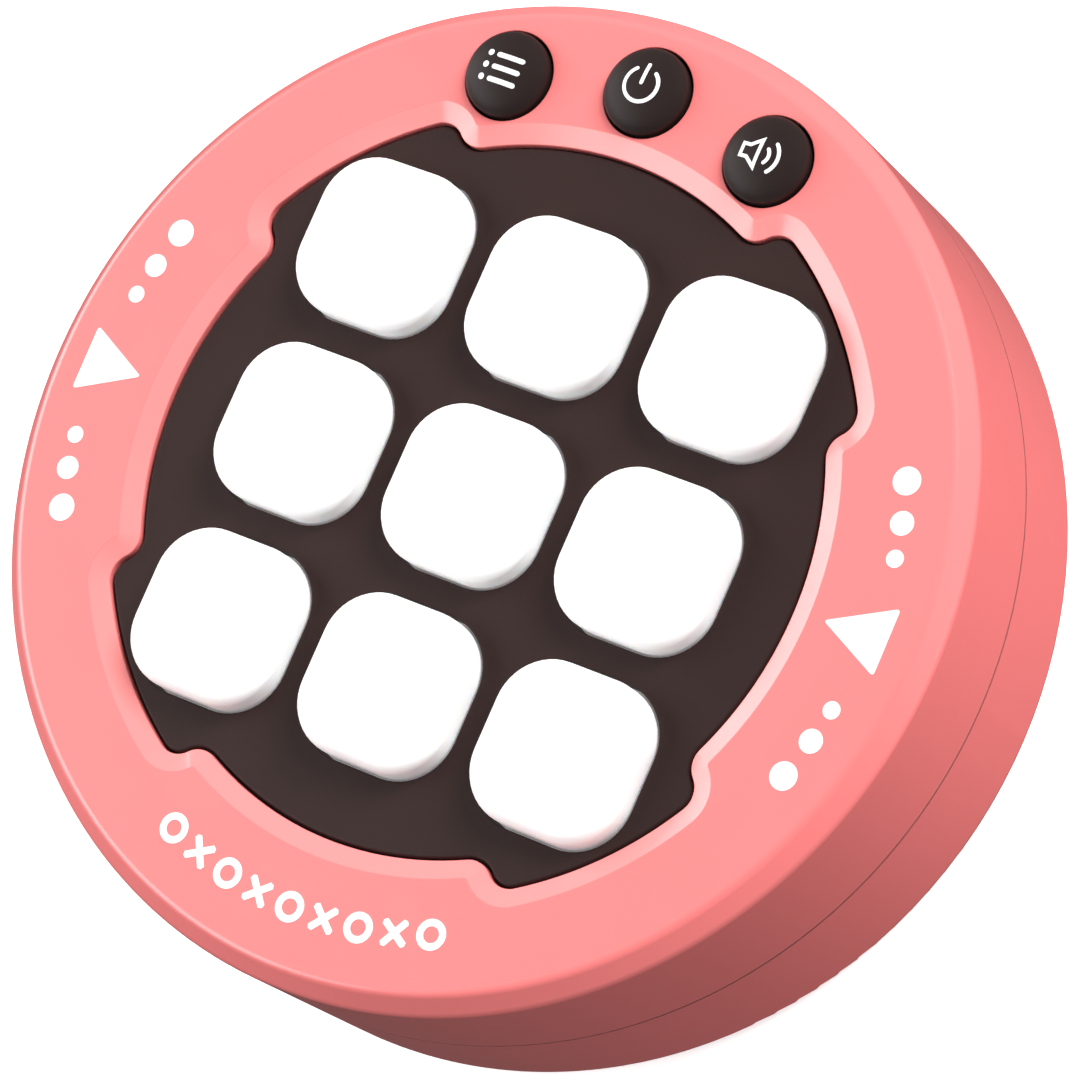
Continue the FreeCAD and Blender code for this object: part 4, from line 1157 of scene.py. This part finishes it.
class Stage(bpy.types.Operator):
    """Pale floor, soft studio light and camera"""
    bl_idname = "noughts.stage"
    bl_label = "Stage"

    def execute(self, context):
        scene = context.scene
        skin = Skin()
        just_under = -0.05
        ring = skin.ring(round_track(1500.0, 96), 0, just_under, UP)
        skin.pole(ring, just_under, 1)
        look = Finish("pale_floor")
        colour = tuple(scene.game_colours.floor)
        floor = skin.piece("pale_floor", look.done(
            Base_Color=look.tint(look.grain(40.0), scaled(colour, 0.99), scaled(colour, 1.01)),
            Roughness=0.8, Specular_IOR_Level=0.2,
            Emission_Color=(1.0, 1.0, 1.0), Emission_Strength=0.62))
        look.clear_from_behind()
        floor.visible_diffuse = floor.visible_glossy = False
        self.light_sky(scene)
        self.add_light("key_light", self.bearing(57, 34), Vector((0, 0, 1)), 1.1, (0.55, 0.55), 14.5)
        low_end, high_end = self.bearing(164, 10), self.bearing(236, 44)
        self.add_light("edge_light", (low_end + high_end).normalized(), high_end - low_end, 0.9,
                       (0.5, 1.3), 9.5, shines=True)
        self.add_light("side_light", self.bearing(8, 2), Vector((0, 0, 1)), 1.1, (0.6, 0.4), 4.5)
        lens = bpy.data.cameras.new("camera")
        lens.lens, lens.sensor_width = 193.55, 36.0
        lens.shift_x, lens.shift_y = 0.01915, 0.02764
        lens.clip_start, lens.clip_end = 0.05, 10.0
        camera = bpy.data.objects.new("camera", lens)
        camera.location = (0.288259, -0.066965, 0.570475)
        camera.rotation_euler = [math.radians(angle) for angle in (16.8366, 22.73467, 25.69057)]
        scene.collection.objects.link(camera)
        scene.camera = camera
        scene.view_settings.view_transform = "Standard"
        scene.view_settings.look = "None"
        return {"FINISHED"}

    def bearing(self, turned, raised):
        """Direction turned anticlockwise from +X and raised above the base, in degrees."""
        level = heading(math.radians(raised))
        return Vector((*(heading(math.radians(turned)) * level.x), level.y))

    def add_light(self, name, way, long_side, away, size, power, shines=False):
        """Rectangular soft light, aimed at the face, with its long side along a direction."""
        lamp = bpy.data.lights.new(name, "AREA")
        lamp.shape, lamp.size, lamp.size_y = "RECTANGLE", *size
        lamp.energy = power
        made = bpy.data.objects.new(name, lamp)
        across = long_side.cross(way).normalized()
        turned = Matrix((across, way.cross(across), way)).transposed()
        made.matrix_world = Matrix.Translation(way * away + Vector((0, 0, 0.03))) @ turned.to_4x4()
        made.visible_glossy = shines
        bpy.context.scene.collection.objects.link(made)

    def light_sky(self, scene):
        """Soft even sky over a dim ground, a little brighter towards the key light."""
        world = bpy.data.worlds.new("soft_sky")
        world.use_nodes = True
        scene.world = world
        graph = Graph(world.node_tree)
        graph.tree.nodes.clear()
        way = graph.node("ShaderNodeTexCoord", out="Generated")
        _, _, height = graph.split(way)
        lean = graph.node("ShaderNodeVectorMath", {"operation": "DOT_PRODUCT"},
                          {0: way, 1: self.bearing(57, 0)}, out="Value")
        sky = height.above(-0.45, 0.35) * (0.30 + 0.10 * lean) + 0.06
        shine = graph.node("ShaderNodeBackground", {}, {"Color": (1.0, 1.0, 1.0, 1.0), "Strength": sky})
        end = graph.tree.nodes.new("ShaderNodeOutputWorld")
        graph.tree.links.new(shine.socket, end.inputs["Surface"])


# ---- Finishes by name -------------------------------------------------------------------------

MAKERS = {
    "casing": casing_finish,
    "panel": lambda: grained(
        "dark_panel_plastic", (0.18, 4.0, 0.6), (12.0, 2.0), *shades("panel", 0.9, 1.12),
        0.42, 0.12, 0.012, 0.8, Specular_IOR_Level=0.14),
    # The keys' faint even glow is partly the light of the lamps under them and partly painted light that
    # brightens their shaded sides.
    "key": lambda: grained(
        "white_key_silicone", (0.15, 3.0), (6.0, 2.0), *shades("key", 0.99, 1.01),
        0.42, 0.08, 0.003, 0.5, Subsurface_Weight=0.25, Subsurface_Scale=0.002,
        Emission_Color=(1.0, 1.0, 1.0), Emission_Strength=0.16),
    "button": lambda: grained(
        "dark_button_rubber", (0.14, 3.0), (3.0, 2.0), *shades("button", 0.92, 1.1),
        0.46, 0.1, 0.006, 0.7, Specular_IOR_Level=0.2),
    "ink": lambda: grained(
        "white_printing_ink", (0.1, 2.0), None, *shades("ink", 0.98, 1.02), 0.45, 0.1, 0.002, 0.5),
    "rubber_grey": rubber_finish,
    "baffle": lambda: grained(
        "white_baffle_plastic", (0.25, 3.0), (9.0, 2.0), (0.80, 0.80, 0.78), (0.86, 0.86, 0.84),
        0.38, 0.1, 0.006, 0.6),
    "board": board_finish,
    "carbon": lambda: grained(
        "carbon_contact_ink", (0.12, 4.0, 0.7), None, (0.008, 0.008, 0.009), (0.035, 0.035, 0.037),
        0.62, 0.2, 0.01, 0.8),
    "lamp": lamp_finish,
    "chip": chip_finish,
    "resistor": resistor_finish,
    "capacitor": capacitor_finish,
    "steel": lambda: metal_finish("plated_screw_steel", (0.62, 0.61, 0.59), 0.26, (1, 1, 0.2)),
    "magnet": lambda: metal_finish("zinc_plated_magnet_cup", (0.56, 0.58, 0.60), 0.32, (1, 1, 1)),
    "contact_metal": lambda: metal_finish("nickel_contact_metal", (0.70, 0.67, 0.61), 0.22, (1, 0.2, 1)),
    "speaker_paper": paper_finish,
    "cell": lambda: cell_finish("cell_sleeve", 1),
    "turned_cell": lambda: cell_finish("turned_cell_sleeve", -1),
    "lead_red": lambda: lead_finish("red_lead_covering", (0.55, 0.02, 0.015)),
    "lead_black": lambda: lead_finish("black_lead_covering", (0.014, 0.014, 0.015)),
}
made_finishes = {}


def finish(name):
    """The finish of that name, made the first time it is asked for."""
    if name not in made_finishes:
        made_finishes[name] = MAKERS[name]()
    return made_finishes[name]


# ---- Sidebar panel and registration -----------------------------------------------------------

OPERATORS = (FrontShell, GamePanel, Keys, Buttons, FacePrinting, MarkRow, BatterySprings, RearCasing,
             InnerParts, Stage)
GROUPS = {"casing_sizes": CasingSizes, "control_sizes": ControlSizes, "print_sizes": PrintSizes,
          "game_colours": GameColours}


class NoughtsPanel(bpy.types.Panel):
    """Buttons for each piece, with the sizes and colours below them"""
    bl_idname = "VIEW3D_PT_noughts"
    bl_label = "Noughts and crosses"
    bl_space_type = "VIEW_3D"
    bl_region_type = "UI"
    bl_category = "Noughts"

    def draw(self, context):
        for operator in OPERATORS:
            self.layout.operator(operator.bl_idname)
        for name, group in GROUPS.items():
            box = self.layout.box()
            for prop in group.__annotations__:
                box.prop(getattr(context.scene, name), prop)


def register():
    for made in (*GROUPS.values(), *OPERATORS, NoughtsPanel):
        bpy.utils.register_class(made)
    for name, group in GROUPS.items():
        setattr(bpy.types.Scene, name, bpy.props.PointerProperty(type=group))


def unregister():
    for name in GROUPS:
        delattr(bpy.types.Scene, name)
    for made in (NoughtsPanel, *OPERATORS[::-1], *GROUPS.values()):
        bpy.utils.unregister_class(made)


def main():
    register()
    for operator in OPERATORS:
        family, name = operator.bl_idname.split(".")
        getattr(getattr(bpy.ops, family), name)()


if __name__ == "__main__":
    main()
